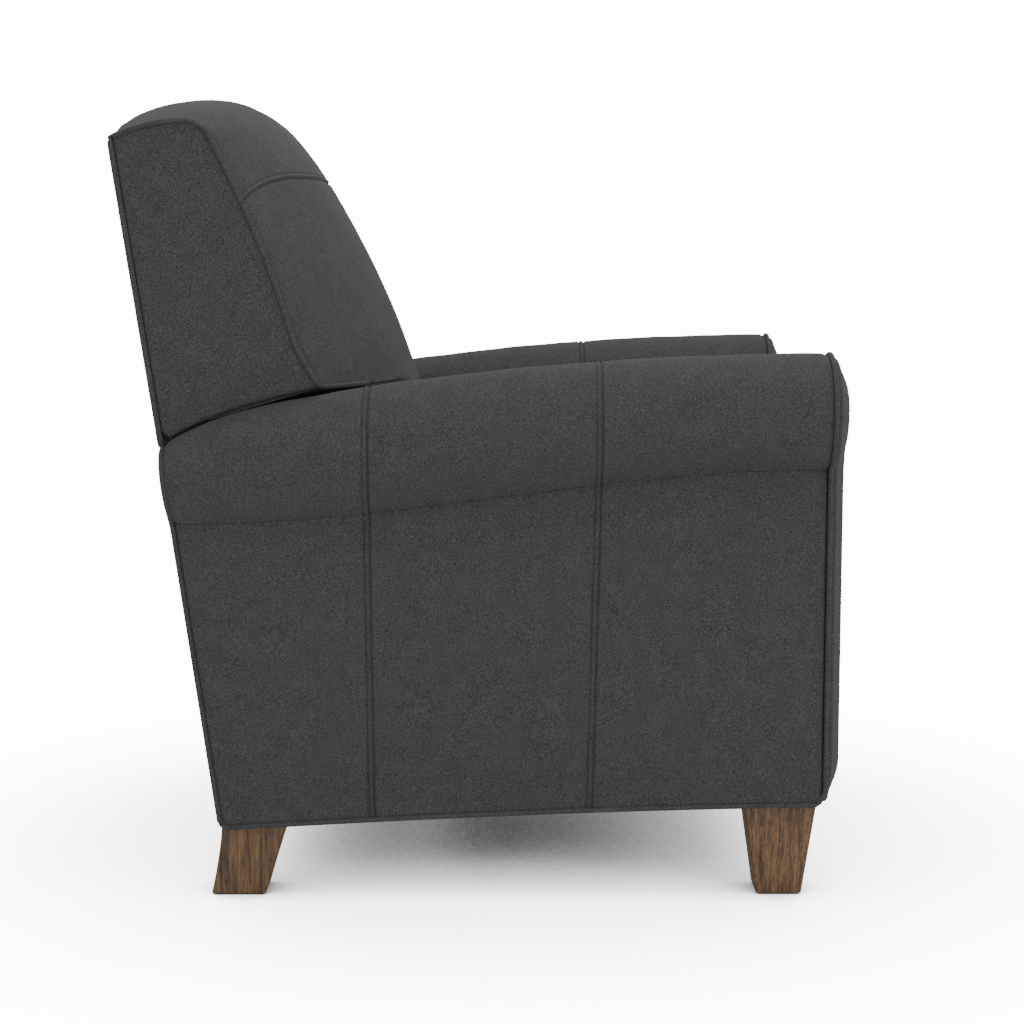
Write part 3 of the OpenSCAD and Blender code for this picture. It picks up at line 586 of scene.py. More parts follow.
def elastic_webbing():
    """Woven elastic webbing: black polypropylene, dull, in soft ribs about 13 mm apart."""
    material, tree, shader, place = start_material("elastic_webbing", {"Roughness": 0.85})
    ribs = add(tree, "ShaderNodeTexWave", {"Vector": place, "Scale": 25.0, "Distortion": 0.4}).outputs["Fac"]
    tint(tree, shader, ribs, (0.0, "#141415"), (1.0, "#2a2a2c"))
    emboss(tree, shader, ribs, 0.3, 0.0006)
    return material


def moulded_polypropylene():
    """Injection-moulded polypropylene: black, finely textured and matt."""
    material, tree, shader, place = start_material("moulded_polypropylene", {"Roughness": 0.55})
    grit = noise(tree, place, 1400)
    tint(tree, shader, grit, (0.3, "#121212"), (0.7, "#1e1e1f"))
    emboss(tree, shader, grit, 0.25, 0.0002)
    return material


# Strength of the white that the camera sees in the floor and the surround
PAPER_WHITE = 14.0


def floor_glow_with_painted_shadow():
    """White studio paper. It lights the chair as matt paper does. Towards the camera it glows plain
    white instead, with a painted shadow that ambient occlusion cuts in where the chair stands near."""
    material, tree, shader, place = start_material("floor_glow_with_painted_shadow", {"Roughness": 0.9})
    tint(tree, shader, noise(tree, place, 0.8), (0.2, "#f4f4f4"), (0.8, "#fafafa"))
    # Painted shadow: ambient occlusion darkens the floor's glow under and round the chair
    painted_shadow_occlusion = add(tree, "ShaderNodeAmbientOcclusion", {"Distance": 0.55}, samples=24)
    shade = add(tree, "ShaderNodeMath", {0: painted_shadow_occlusion.outputs["AO"], 1: 2.3}, operation="POWER")
    glow = add(tree, "ShaderNodeMath", {0: shade.outputs[0], 1: PAPER_WHITE}, operation="MULTIPLY")
    # Glow that the camera sees in place of lit paper, dimmed by the painted shadow
    paper = add(tree, "ShaderNodeEmission", {"Strength": glow.outputs[0]})
    seen = add(tree, "ShaderNodeLightPath").outputs["Is Camera Ray"]
    both = add(tree, "ShaderNodeMixShader",
               {0: seen, 1: shader.outputs["BSDF"], 2: paper.outputs["Emission"]})
    output = next(node for node in tree.nodes if node.type == "OUTPUT_MATERIAL")
    tree.links.new(both.outputs["Shader"], output.inputs["Surface"])
    return material


# The function that makes each finish, and its colours in the sidebar
FINISHES = {
    "fabric": (brushed_polyester, "fabric_dark", "fabric_light"),
    "thread": (spun_thread, "fabric_dark"),
    "walnut": (stained_walnut, "walnut_dark", "walnut_light"),
    "plywood": (bare_plywood,),
    "steel": (enamelled_steel,),
    "zinc": (zinc_plate,),
    "webbing": (elastic_webbing,),
    "glide": (moulded_polypropylene,),
}
MADE = {}


def finish(key):
    """The material of that key, made on first use."""
    if key not in MADE:
        make, *names = FINISHES[key]
        colours = bpy.context.scene.recliner_colours
        MADE[key] = make(*((*getattr(colours, name), 1) for name in names))
    return MADE[key]


def metres(name, description, default, low, high):
    """A length in the sidebar."""
    return FloatProperty(name=name, description=description, default=default, min=low, max=high,
                         unit="LENGTH")


def hue(name, description, default):
    """A colour in the sidebar, with its default written as sRGB hex."""
    return FloatVectorProperty(name=name, description=description, default=linear(default)[:3],
                               subtype="COLOR", size=3, min=0, max=1)


class ReclinerSizes(bpy.types.PropertyGroup):
    """Sizes of the upholstery's details."""
    welt_d: metres("Welt", "Diameter of the welt cord", 0.0066, 0.004, 0.009)
    edge_round: metres("Panel edge", "Rounding at the edges of the padded panels", 0.0045, 0.002, 0.007)
    front_crown: metres("Arm front crown", "Crown of the padded arm fronts", 0.0145, 0.010, 0.018)
    seam_rear: metres("Rear arm seam", "Place of the seam behind the middle", 0.138, 0.1, 0.2)
    seam_front: metres("Front arm seam", "Place of the seam ahead of the middle", -0.151, -0.2, -0.1)


class ReclinerColours(bpy.types.PropertyGroup):
    """Colours of the fabric and the legs."""
    fabric_dark: hue("Fabric shade", "Darker threads of the fabric", "#323232")
    fabric_light: hue("Fabric light", "Lighter threads of the fabric", "#5a5a5a")
    walnut_dark: hue("Walnut shade", "Dark grain of the legs", "#3d2a1a")
    walnut_light: hue("Walnut light", "Light grain of the legs", "#93704a")


def arm_section(y, seams):
    """Rings across an arm cover on the left side, and how many of their points show.

    A ring goes up the padded inside, over half an ellipse of the inner and outer half widths, and
    down a longer quarter that ends on the crease. It closes over the arm frame's top rail. Towards
    the rear end the rings lean with the body. The seams are pressed in along the outward normal.
    """
    y = np.asarray(y, float)[:, None]
    front = np.clip((DROP_END + 0.020 - y) / 0.020, 0, 1)
    inside = mix(WOOD_IN - 0.002, ARM_IN, front)
    drop = mix(0.492, 0.361, front)
    top = arm_top(y)
    low = crease(y)
    middle = (top + low) / 2
    high = top - middle
    wide = roll_half(y)
    face = np.linspace(0, 1, 14, endpoint=False)[None]
    inner = np.linspace(pi, pi / 2, 18, endpoint=False)[None]
    tuck = np.arccos((ARM_OUT - ROLL_X) / wide)
    outer = mix(pi / 2, -tuck, np.linspace(0, 1, 40)[None])
    longer = np.where(outer < 0, high / np.sin(tuck), high)
    x = np.concatenate([inside + 0 * face, ROLL_X + (ROLL_X - inside) * np.cos(inner),
                        ROLL_X + wide * np.cos(outer)], 1)
    z = np.concatenate([mix(drop, middle, face), middle + high * np.sin(inner),
                        middle + longer * np.sin(outer)], 1)
    shown = x.shape[1]
    rail = low + 0.0404
    closing = np.array([PANEL_IN, PANEL_IN, WOOD_IN, WOOD_IN - 0.0003]) + 0 * y
    x = np.concatenate([x, closing], 1)
    z = np.concatenate([z, low, rail, rail, drop], 1)
    lean = np.maximum(0, (y - 0.200) / (ARM_REAR - 0.200)) * (z - 0.540) * tan(BODY_LEAN)
    rings = np.stack([x, y + lean, z], 2)
    normal = grid_normals(rings, True)
    outward = np.sign((normal[:, :shown] * (rings[:, :shown] - rings.mean(1, keepdims=True))).sum())
    relief = sum(seam_relief(y - place) for place in seams)
    ends = -0.0022 * np.exp(-((y - BODY_FRONT) / 0.005) ** 2) - 0.003 * np.exp(-((y - ARM_REAR) / 0.007) ** 2)
    relief = relief + ends + slow_wave(rings[..., 1], rings[..., 2])[:, :shown]
    rings[:, :shown] += outward * normal[:, :shown] * relief[..., None]
    return rings, shown


class RECLINER_OT_arm_covers(bpy.types.Operator):
    """Padded arm covers with two topstitched seams over each roll"""
    bl_idname = "recliner.arm_covers"
    bl_label = "Arm covers"

    def execute(self, context):
        sizes = context.scene.recliner_sizes
        seams = (sizes.seam_front, sizes.seam_rear)
        places = close_set(BODY_FRONT, ARM_REAR, 90, (*seams, BODY_FRONT, ARM_REAR, DROP_END))
        rings, shown = arm_section(places, seams)
        rows = arm_section([place + STITCH_OFF for place in seams], seams)[0]
        for side, flip in SIDES.items():
            cover = add_piece(f"arm_upholstery_{side}", ring_skin(rings * flip), "frame")
            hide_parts(f"arm_cover_{side}")
            for label, row in zip(("front", "rear"), rows):
                path = even_path(row[4:shown], STITCH_PITCH)
                outward = (path - [ROLL_X, 0, 0.61]) * [1, 0, 1]
                add_stitches(f"arm_stitches_{label}_{side}", path * flip, outward * flip, "frame")
        return {"FINISHED"}


class RECLINER_OT_outside_panels(bpy.types.Operator):
    """Outside panels under the arms, with the two seams running on down to the hem"""
    bl_idname = "recliner.outside_panels"
    bl_label = "Outside panels"

    def execute(self, context):
        sizes = context.scene.recliner_sizes
        tall = np.concatenate([[0, 0.003, 0.008, 0.015], np.linspace(0.03, 0.97, 44),
                               [0.985, 0.992, 0.997, 1]])
        rear_top = rear_y(crease(0.38)) - 0.0005
        across = close_set(0, 3, 70, (1, 2), 0.05, 0.004)
        across = np.unique(np.concatenate([across, [0.002, 0.006, 0.012, 0.02, 2.98, 2.988, 2.994, 2.998]]))
        height = tall[None] + 0 * across[:, None]
        front_seam = sizes.seam_front + 0.010 * (1 - height)
        rear_seam = sizes.seam_rear - 0.004 * (1 - height)
        rear = mix(REAR_FOOT, rear_top, height) - 0.0052
        lines = np.stack([BODY_FRONT + 0 * height, front_seam, rear_seam, rear], 2)
        first = np.clip(np.floor(across).astype(int), 0, 2)
        share = (across - first)[:, None]
        rows = np.arange(len(across))
        y = mix(lines[rows, :, first], lines[rows, :, first + 1], share)
        z = mix(hem(y), crease(y) + 0.0015, height)
        flat = np.stack([y, z], 2)
        tucked = flat.copy()
        tucked[:, -1, 1] += 0.008
        gap = edge_distance(flat, border(tucked))
        face = padded_height(gap, sizes.edge_round, 0.0034, 0.05)
        face += seam_relief(y - front_seam) + seam_relief(y - rear_seam)
        face += slow_wave(y, z, 0.11, 0.0007) * (1 - np.exp(-(gap / 0.03) ** 2))
        front = np.stack([PANEL_IN + 0.0012 + face, y, z], 2)
        back = np.stack([PANEL_IN + 0 * y, y, z], 2)
        for side, flip in SIDES.items():
            panel = add_piece(f"outside_fabric_{side}", sandwich(front * flip, back * flip), "frame")
            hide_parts(f"outside_panel_{side}")
            for label, seam in zip(("front", "rear"), (front_seam, rear_seam)):
                run = np.stack([np.full_like(tall, ARM_OUT + 0.0004), seam[0] + STITCH_OFF,
                                mix(hem(seam[0]) + 0.004, crease(seam[0]) - 0.004, tall)], 1)
                add_stitches(f"outside_stitches_{label}_{side}", run * flip, flip * [1, 0, 0], "frame")
        return {"FINISHED"}


def arm_front_outline(inset=0.0):
    """The arm's front outline in x and z on the left side, from its lower inside corner over the
    roll to its lower outside corner: straight sides, two quarter ellipses and a tuck under the roll."""
    top = arm_top(BODY_FRONT)
    low = CREASE_H
    middle = (top + low) / 2
    high = top - middle - inset
    inner = np.linspace(pi, pi / 2, 26)[:-1]
    wide = roll_half(BODY_FRONT) - inset
    tuck = np.arccos((ARM_OUT - ROLL_X - inset) / wide)
    outer = mix(pi / 2, -tuck * 0.93, np.linspace(0, 1, 44))
    longer = np.where(outer < 0, (middle - low) / np.sin(tuck), high)
    left = np.stack([np.full(30, ARM_IN + inset),
                     np.linspace(HEM_FRONT + inset, middle, 30, endpoint=False)], 1)
    arc_in = np.stack([ROLL_X + (ROLL_X - ARM_IN - inset) * np.cos(inner), middle + high * np.sin(inner)], 1)
    arc_out = np.stack([ROLL_X + wide * np.cos(outer), middle + longer * np.sin(outer)], 1)
    right = np.stack([np.full(30, ARM_OUT - inset), np.linspace(low - 0.012, HEM_FRONT + inset, 30)], 1)
    return np.concatenate([left, arc_in, arc_out, right])


class RECLINER_OT_arm_fronts(bpy.types.Operator):
    """Padded arm fronts, each with its welt, which runs on along the hem to the rear"""
    bl_idname = "recliner.arm_fronts"
    bl_label = "Arm fronts"

    def execute(self, context):
        sizes = context.scene.recliner_sizes
        outline = arm_front_outline(sizes.welt_d * 0.75)
        outline = rounded_path(np.insert(outline, 1, 0, axis=1), 0.0016, 4)[:, [0, 2]]
        split = int(np.argmax(outline[:, 1]))
        share = close_set(0, 1, 150, (0, 1), 0.02, 0.002)
        run = np.concatenate([[0], np.cumsum(np.linalg.norm(np.diff(outline, axis=0), axis=1))])
        left_run = share * run[split]
        right_run = run[-1] - share * (run[-1] - run[split])
        left = np.stack([np.interp(left_run, run, outline[:, k]) for k in (0, 1)], 1)
        right = np.stack([np.interp(right_run, run, outline[:, k]) for k in (0, 1)], 1)
        across = (1 - np.cos(pi * np.linspace(0, 1, 40))) / 2
        flat = mix(left[:, None], right[:, None], across[None, :, None])
        gap = edge_distance(flat, outline)
        taper = 0.0066 * np.clip((0.176 - flat[..., 1]) / 0.045, 0, 1) ** 1.3
        drawn_in = np.clip(0.138 - flat[..., 1], 0, 0.0088) / 0.009
        depth = 0.0075 * np.sqrt(1 - drawn_in ** 2)
        depth += np.maximum(0, padded_height(gap, 0.0055, sizes.front_crown, 0.026) - taper)
        hem_y = np.linspace(BODY_FRONT + 0.007, REAR_FOOT - 0.012, 60)
        hem_z = hem(hem_y) + 0.0004
        turn = np.linspace(0.1, pi / 2, 8)
        hem_y = np.concatenate([hem_y, hem_y[-1] + 0.0092 * np.sin(turn)])
        hem_z = np.concatenate([hem_z, hem_z[-1] + 0.0092 * (1 - np.cos(turn))])
        hem_line = np.stack([np.full(len(hem_y), ARM_OUT - 0.0022), hem_y, hem_z], 1)
        line = arm_front_outline(0.0012)[:-1]
        line[:, 0] = np.maximum(line[:, 0], ARM_IN + sizes.welt_d / 2 + 0.0006)
        ahead = np.full(len(line), BODY_FRONT - sizes.welt_d / 2 - 0.0004)
        path = np.concatenate([np.stack([line[:, 0], ahead, line[:, 1]], 1), hem_line])
        front = np.stack([flat[..., 0], BODY_FRONT - depth, flat[..., 1]], 2)
        back = np.stack([flat[..., 0], BODY_FRONT - 0.0004 + 0 * depth, flat[..., 1]], 2)
        for side, flip in SIDES.items():
            panel = add_piece(f"arm_front_pad_{side}", sandwich(front * flip, back * flip), "frame")
            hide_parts(f"arm_front_panel_{side}")
            welt = add_welt(f"arm_front_cord_{side}", path * flip, sizes.welt_d, "frame")
            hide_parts(f"arm_front_welt_{side}")
        return {"FINISHED"}


class RECLINER_OT_rear_panel(bpy.types.Operator):
    """Rear panel with an ear behind each arm, and the thin welt up its edges and round the arm ends"""
    bl_idname = "recliner.rear_panel"
    bl_label = "Rear panel"

    def execute(self, context):
        sizes = context.scene.recliner_sizes
        half = ARM_OUT - 0.0046
        x = both_ways([np.linspace(0, 0.262, 40), [0.2700, 0.2712, 0.2726, 0.2742],
                       np.linspace(0.279, half - 0.012, 16),
                       half - np.array([0.008, 0.005, 0.003, 0.0015, 0.0005, 0])])
        ear = np.clip((np.abs(x) - 0.2700) / 0.0042, 0, 1)
        top = mix(0.454, crease(0.36) + 0.039, ear * ear * (3 - 2 * ear))
        z = mix(HEM_REAR + 0.002, top[:, None], tall_rows(40)[None])
        x = x[:, None] + 0 * z
        flat = np.stack([x, z], 2)
        gap = edge_distance(flat, border(flat))
        out = padded_height(gap, sizes.edge_round, 0.0022, 0.05) + slow_wave(x, z, 0.12, 0.0008)
        front = np.stack([x, rear_y(z) - 0.0065 + out, z], 2)
        back = np.stack([x, rear_y(z) - 0.008, z], 2)
        panel = add_piece("rear_fabric", sandwich(front, back), "frame")
        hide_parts("rear_panel")
        rings, shown = arm_section(ARM_REAR - np.array([0.0008, 0.0004, 0.0]), ())
        edge_z = np.linspace(HEM_REAR + 0.0095, crease(0.38) - 0.006, 60)
        edge = np.stack([np.full(60, ARM_OUT - 0.0030), rear_y(edge_z) - 0.0034, edge_z], 1)
        ring = rings[1, 8:shown][::-1] + [0, 0.0022, 0]
        ring[:, 0] = mix(ROLL_X, ring[:, 0], 0.985)
        ring[:, 2] = mix(0.54, ring[:, 2], 0.985)
        path = np.concatenate([edge, ring])
        for side, flip in SIDES.items():
            add_welt(f"rear_cord_{side}", path * flip, 0.0064, "frame")
        return {"FINISHED"}


# Front and top edge of a wing, from its lower front corner: ahead of the rear face, and up
WING_EDGE = np.array([[210, 41], [195, 80], [188, 105], [177, 172], [163, 238], [145, 304], [130, 351],
                      [124, 370], [114, 382], [99, 390], [61, 392], [32, 389], [7, 383]]) / 1000
# How far the cushion's middle stands ahead of that edge and over it, as shares of the two crowns
WING_PUSH = np.array([1.036, 1.069, 1.064, 0.975, 0.901, 0.841, 0.704,
                      0.561, 0.418, 0.12, 0.032, -0.033, -0.054])
WING_LIFT = np.array([-0.33, 0.2, 0.318, 0.308, 0.259, 0.252, 0.354,
                      0.588, 0.761, 0.866, 0.922, 0.903, 0.873])
# Where the cushion meets the wooden back behind each of those places
WING_BACK = np.array([[65.4, 20], [65.4, 62], [65.4, 112], [65.4, 182], [65.4, 243], [65.4, 293], [69.4, 322],
                      [78, 342], [72, 354], [66, 360], [50, 361], [32, 362], [14, 364]]) / 1000
# The same between the arms, from the cushion's foot upwards
FOOT_EDGE = np.array([[115, -196], [146, -194], [176, -165], [199, -120], [211, -75], [215, -20],
                      [210, 40]]) / 1000
FOOT_PUSH = np.array([0.9, 1.06, 1.06, 1.04, 1.06, 1.04, 1.03])
FOOT_LIFT = np.array([0, 0.1, 0.1, 0.1, 0.05, -0.1, -0.35])
FOOT_BACK = np.array([[65.4, -178], [65.4, -162], [65.4, -136], [65.4, -104], [65.4, -64], [65.4, -18],
                      [65.4, 19]]) / 1000
# Height of the seam across the head, at its middle
HEAD_SEAM_UP = 0.2945
# How far the outside back's fabric wraps forwards round the posts, as far as the wing panels
STRIP_DEPTH = 0.0062
# Gap that shows between the wings and the arms
WING_GAP = 0.0062
# Share of its crown that the cushion starts with at each place, before its filling pushes out
CUSHION_SLACK = np.array([1, 0.99, 0.985, 0.975, 0.97, 0.97, 0.975, 1, 1, 0.95, 0.91, 0.93, 1])
# Sleeves round the back's posts: outer face, width, and their reach ahead and up in the back's lean
SLEEVE_OUT = 0.26597
SLEEVE_WIDE = 0.0254
SLEEVE_AHEAD = (0.0042, 0.0465)
SLEEVE_UP = (-0.112, 0.058)


def cushion_rows(edge, push, lift, rear, half, places, count=110):
    """Rings of the back cushion at places counted along its stations.

    Each ring runs across the front on a line whose crown fades with the 2.4th power of the way to
    the wing, and closes along the wooden back. Returns the rings and the height of each on its edge.
    """
    stations = through(np.column_stack([edge, push, lift, rear]), places)
    x = half * np.sin(pi / 2 * np.linspace(-1, 1, count))
    crown = crowned(x, CUSHION_WING)
    ahead = stations[:, :1] + stations[:, 2:3] * BACK_CROWN * crown
    up = stations[:, 1:2] + stations[:, 3:4] * HEAD_CROWN * crown
    y, z = back_at(ahead, up)
    front = np.stack([np.broadcast_to(x, y.shape), y, z], 2)
    back_y, back_z = back_at(stations[:, 4], stations[:, 5])
    closing = np.linspace(1, -1, 7)
    back = np.stack([np.broadcast_to(half * closing, (len(stations), 7)),
                     np.repeat(back_y[:, None], 7, 1), np.repeat(back_z[:, None], 7, 1)], 2)
    return front, back, stations[:, 1]


class RECLINER_OT_back_cushion(bpy.types.Operator):
    """Crowned back cushion, with a topstitched seam across its head"""
    bl_idname = "recliner.back_cushion"
    bl_label = "Back cushion"

    def execute(self, context):
        seam_place = float(np.interp(HEAD_SEAM_UP - 0.003, WING_EDGE[:10, 1], np.arange(10)))
        places = close_set(0, 12, 130, (seam_place,), 0.45, 0.012)
        slack = CUSHION_SLACK
        foot, foot_back, _ = cushion_rows(FOOT_EDGE, FOOT_PUSH, FOOT_LIFT, FOOT_BACK, CUSHION_HALF,
                                          np.linspace(0, 6, 44))
        head, head_back, up = cushion_rows(WING_EDGE, slack * WING_PUSH, slack * WING_LIFT, WING_BACK,
                                           CUSHION_WING, places)
        rings = np.concatenate([np.concatenate([foot, foot_back], 1), np.concatenate([head, head_back], 1)])
        rings = rings + settled(rings, self.is_held, 4.0, 0.024)
        head = rings[len(foot):, :head.shape[1]]
        share = np.abs(head[..., 0]) / CUSHION_WING
        seam = HEAD_SEAM_UP + 0.0185 * share ** 2 - 0.032 * share ** 6
        relief = seam_relief(up[:, None] - seam) * (up[:, None] < 0.36)
        relief += slow_wave(head[..., 0], head[..., 2], 0.16, 0.0016)
        side = CUSHION_WING - np.abs(head[..., 0])
        relief -= 0.0030 * np.exp(-(side / 0.006) ** 2)
        normal = grid_normals(head, False)
        outward = np.sign((normal * [0, -1, 0.3]).sum())
        rings[len(foot):, :head.shape[1]] = head + outward * normal * relief[..., None]
        cushion = add_piece("back_upholstery", ring_skin(rings), "back", sharp=60)
        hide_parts("back_cushion")
        rising = np.arange(int(np.argmax(up)))
        middle = len(rising) // 2
        columns = [j for j in range(head.shape[1]) if abs(head[middle, j, 0]) < 0.326]
        path = np.array([[np.interp(seam[middle, j] + STITCH_OFF, up[rising], head[rising, j, k])
                          for k in range(3)] for j in columns])
        add_stitches("head_stitches", path, [0, -0.8, 0.6], "back")
        return {"FINISHED"}

    def is_held(self, points):
        """The cushion is held at the wooden back, and along the seams with the wings and at its foot."""
        ahead, up = in_back(points)
        side = np.abs(points[:, 0])
        foot = (side > CUSHION_HALF - 0.008) & (up < 0.030)
        return ((ahead < 0.082) & (up < 0.372)) | (side > CUSHION_WING - 0.010) | foot


def wing_outline():
    """A wing's outline in y and z: its lower edge over the arm from the rear, its front and top edge,
    and down along the outside back's strip. Its lower rear corner is cut off and then rounded."""
    low_y = np.linspace(BACK_REAR - 0.015, back_at(*WING_EDGE[0])[0], 24)
    low = np.stack([low_y, arm_top(low_y) + mix(WING_GAP, 0.009, np.linspace(0, 1, 24) ** 2)], 1)
    edge = through(WING_EDGE, np.linspace(0, 12, 110)[1:])
    edge = edge[edge[:, 0] > STRIP_DEPTH]
    rear_up = np.linspace(edge[-1, 1] - 0.003, 0.013, 60)
    edge = np.concatenate([edge, np.stack([np.full(60, STRIP_DEPTH), rear_up], 1)])
    y, z = back_at(edge[:, 0], edge[:, 1])
    return np.concatenate([low, np.stack([y, z], 1)])


class RECLINER_OT_wings(bpy.types.Operator):
    """Wing side panels, the welt along their edges, and the fabric under each wing"""
    bl_idname = "recliner.wings"
    bl_label = "Wings"

    def execute(self, context):
        sizes = context.scene.recliner_sizes
        outline = wing_outline()
        loop = np.concatenate([outline, outline[:1]])
        loop = rounded_path(np.insert(loop, 0, 0, axis=1), 0.003, 4)[:-1, 1:]
        centre = np.array([0.345, 0.775])
        shrink = np.concatenate([[1, 0.998, 0.994, 0.988, 0.98, 0.97], np.linspace(0.95, 0.0, 26)])
        flat = centre + (loop[None] - centre) * shrink[:, None, None]
        gap = edge_distance(flat, loop)
        out = padded_height(gap, 0.0045, 0.0030, 0.045)
        out += slow_wave(flat[..., 0], flat[..., 1], 0.13, 0.0008) * (1 - np.exp(-(gap / 0.03) ** 2))
        face = np.stack([WING_HALF - 0.0065 + out, flat[..., 0], flat[..., 1]], 2)
        rear = np.stack([np.full(len(loop), WING_HALF - 0.008), loop[:, 0], loop[:, 1]], 1)
        skin = np.concatenate([rear[None], face])
        edge = through(WING_EDGE, np.linspace(11.85, 0, 110))
        along = np.stack([np.full(110, WING_HALF - 0.002), *back_at(edge[:, 0], edge[:, 1])], 1)
        x = np.linspace(CUSHION_WING, 0.250, 24)
        crown = crowned(x, CUSHION_WING)
        under = np.stack([x, *back_at(WING_EDGE[0, 0] + WING_PUSH[0] * BACK_CROWN * crown + 0.002,
                                      WING_EDGE[0, 1] + WING_LIFT[0] * HEAD_CROWN * crown)], 1)
        path = np.concatenate([along[:-1], under[1:]])
        below = np.linspace(BACK_REAR - 0.0012, 0.330, 30)[:, None]
        inside = np.linspace(WING_HALF - 0.016, 0.252, 6)[None]
        low = arm_top(below) + 0.0032 - 0.005 * np.clip((below - 0.389) / 0.005, 0, 1)
        floor = np.stack([inside + 0 * below, below + 0 * inside, low + 0 * inside], 2)
        roof = floor + [0, 0, 0.024]
        for side, flip in SIDES.items():
            panel = add_piece(f"wing_fabric_{side}", ring_skin(skin * flip), "back")
            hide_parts(f"wing_panel_{side}")
            welt = add_welt(f"wing_cord_{side}", path * flip, sizes.welt_d, "back")
            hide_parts(f"wing_welt_{side}")
            add_piece(f"wing_underside_{side}", sandwich(floor * flip, roof * flip), "back")
        return {"FINISHED"}


class RECLINER_OT_outside_back(bpy.types.Operator):
    """Outside back, with a welt over its crowned top, a wrapped edge and a post sleeve on each side"""
    bl_idname = "recliner.outside_back"
    bl_label = "Outside back"

    def execute(self, context):
        half = WING_HALF - 0.003
        x = both_ways([np.linspace(0, 0.252, 34), [0.2610, 0.2618, 0.2630],
                       np.linspace(0.268, half - 0.014, 12),
                       half - np.array([0.010, 0.006, 0.003, 0.0012, 0])])
        low = mix(-0.112, 0.012, np.clip((np.abs(x) - 0.2610) / 0.002, 0, 1))
        high = OUTSIDE_TOP + OUTSIDE_CROWN * crowned(x, half)
        up = mix(low[:, None], high[:, None], tall_rows(46)[None])
        x = x[:, None] + 0 * up
        flat = np.stack([x, up], 2)
        gap = edge_distance(flat, border(flat))
        out = padded_height(gap, 0.0035, 0.0030, 0.06) + slow_wave(x, up, 0.15, 0.0010)
        front = np.stack([x, *back_at(0.0040 - out, up)], 2)
        back = np.stack([x, *back_at(0.0048, up)], 2)
        panel = add_piece("outside_back_fabric", sandwich(front, back), "back")
        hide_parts("outside_back")
        x = np.linspace(0.338, -0.338, 120)
        over = np.stack([x, *back_at(0.0035, OUTSIDE_TOP + OUTSIDE_CROWN * crowned(x, half))], 1)
        add_welt("outside_back_cord", over, 0.0062, "back")
        rise = np.concatenate([[-0.004, -0.0033, -0.002], np.linspace(0.001, 0.372, 60),
                               [0.3765, 0.3795, 0.381]])
        narrow = np.concatenate([[0.5, 0.75, 0.93], np.ones(60), [0.88, 0.62, 0.3]])[:, None]
        turn = np.linspace(0, 2 * pi, 36, endpoint=False)[None]
        ahead = STRIP_DEPTH / 2 + (STRIP_DEPTH / 2 + 0.0006) * narrow * lobe(np.cos(turn))
        strip = np.stack([WING_HALF - 0.0056 + 0.0056 * narrow * lobe(np.sin(turn)),
                          *back_at(ahead, rise[:, None])], 2)
        y, z = back_at(np.linspace(*SLEEVE_AHEAD, 12)[:, None], np.linspace(*SLEEVE_UP, 24)[None])
        outer = np.stack([SLEEVE_OUT + 0 * y, y, z], 2)
        inner = outer - [SLEEVE_WIDE, 0, 0]
        for side, flip in SIDES.items():
            add_piece(f"outside_back_edge_{side}", ring_skin(strip * flip), "back")
            add_piece(f"post_sleeve_{side}", sandwich(outer * flip, inner * flip), "back")
        return {"FINISHED"}


def lobe(value):
    """Turns a circle's coordinate into a superellipse's of the fifth power."""
    return np.sign(value) * np.abs(value) ** (2 / 5)


def pillow_rings(half, centre, size, crown, bulge, dish, corner, rows=90, cols=96):
    """Rings of a box cushion across x: superellipses that draw in at both ends, with a crown on
    top, a bulge in front and a hollow at the rear, each strongest in the middle."""
    x = half * np.sin(pi / 2 * np.linspace(-1, 1, rows))[:, None]
    draw = corner - np.sqrt(np.maximum(corner ** 2 - np.maximum(0, np.abs(x) - half + corner) ** 2, 0))
    full = 1 - (np.abs(x) / half) ** 2.6
    turn = np.linspace(0, 2 * pi, cols, endpoint=False)[None]
    c, s = lobe(np.cos(turn)), lobe(np.sin(turn))
    top = np.where(s > 0, crown * full * s * (1 - np.abs(c) ** 3), 0)
    out = np.where(c < 0, bulge * full * c * (1 - np.abs(s) ** 3), dish * (1 - full) * c)
    y = centre[0] + (size[0] - draw) * c + out
    z = centre[1] + (size[1] - draw) * s + top
    return np.stack([x + 0 * y, y, z], 2)


class RECLINER_OT_seat_cushion(bpy.types.Operator):
    """Seat cushion: crowned foam in the same fabric, hollowed at the rear for the back cushion"""
    bl_idname = "recliner.seat_cushion"
    bl_label = "Seat cushion"

    def execute(self, context):
        low = SEAT_LOW[2]
        rings = pillow_rings(CUSHION_HALF, ((0.076 - 0.447) / 2, low + 0.052), (0.2555, 0.052),
                             0.016, 0.006, 0.050, 0.018)
        skin = ring_skin(rings + settled(rings, self.is_held, 3.0, 0.022))
        cushion = add_piece("seat_upholstery", skin, "seat", sharp=60)
        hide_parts("seat_cushion")
        return {"FINISHED"}

    def is_held(self, points):
        """The cushion is held by its webbing below, by the back behind and by its side seams."""
        low = points[:, 2] < SEAT_LOW[2] + 0.014
        return low | (points[:, 1] > 0.020) | (np.abs(points[:, 0]) > CUSHION_HALF - 0.010)


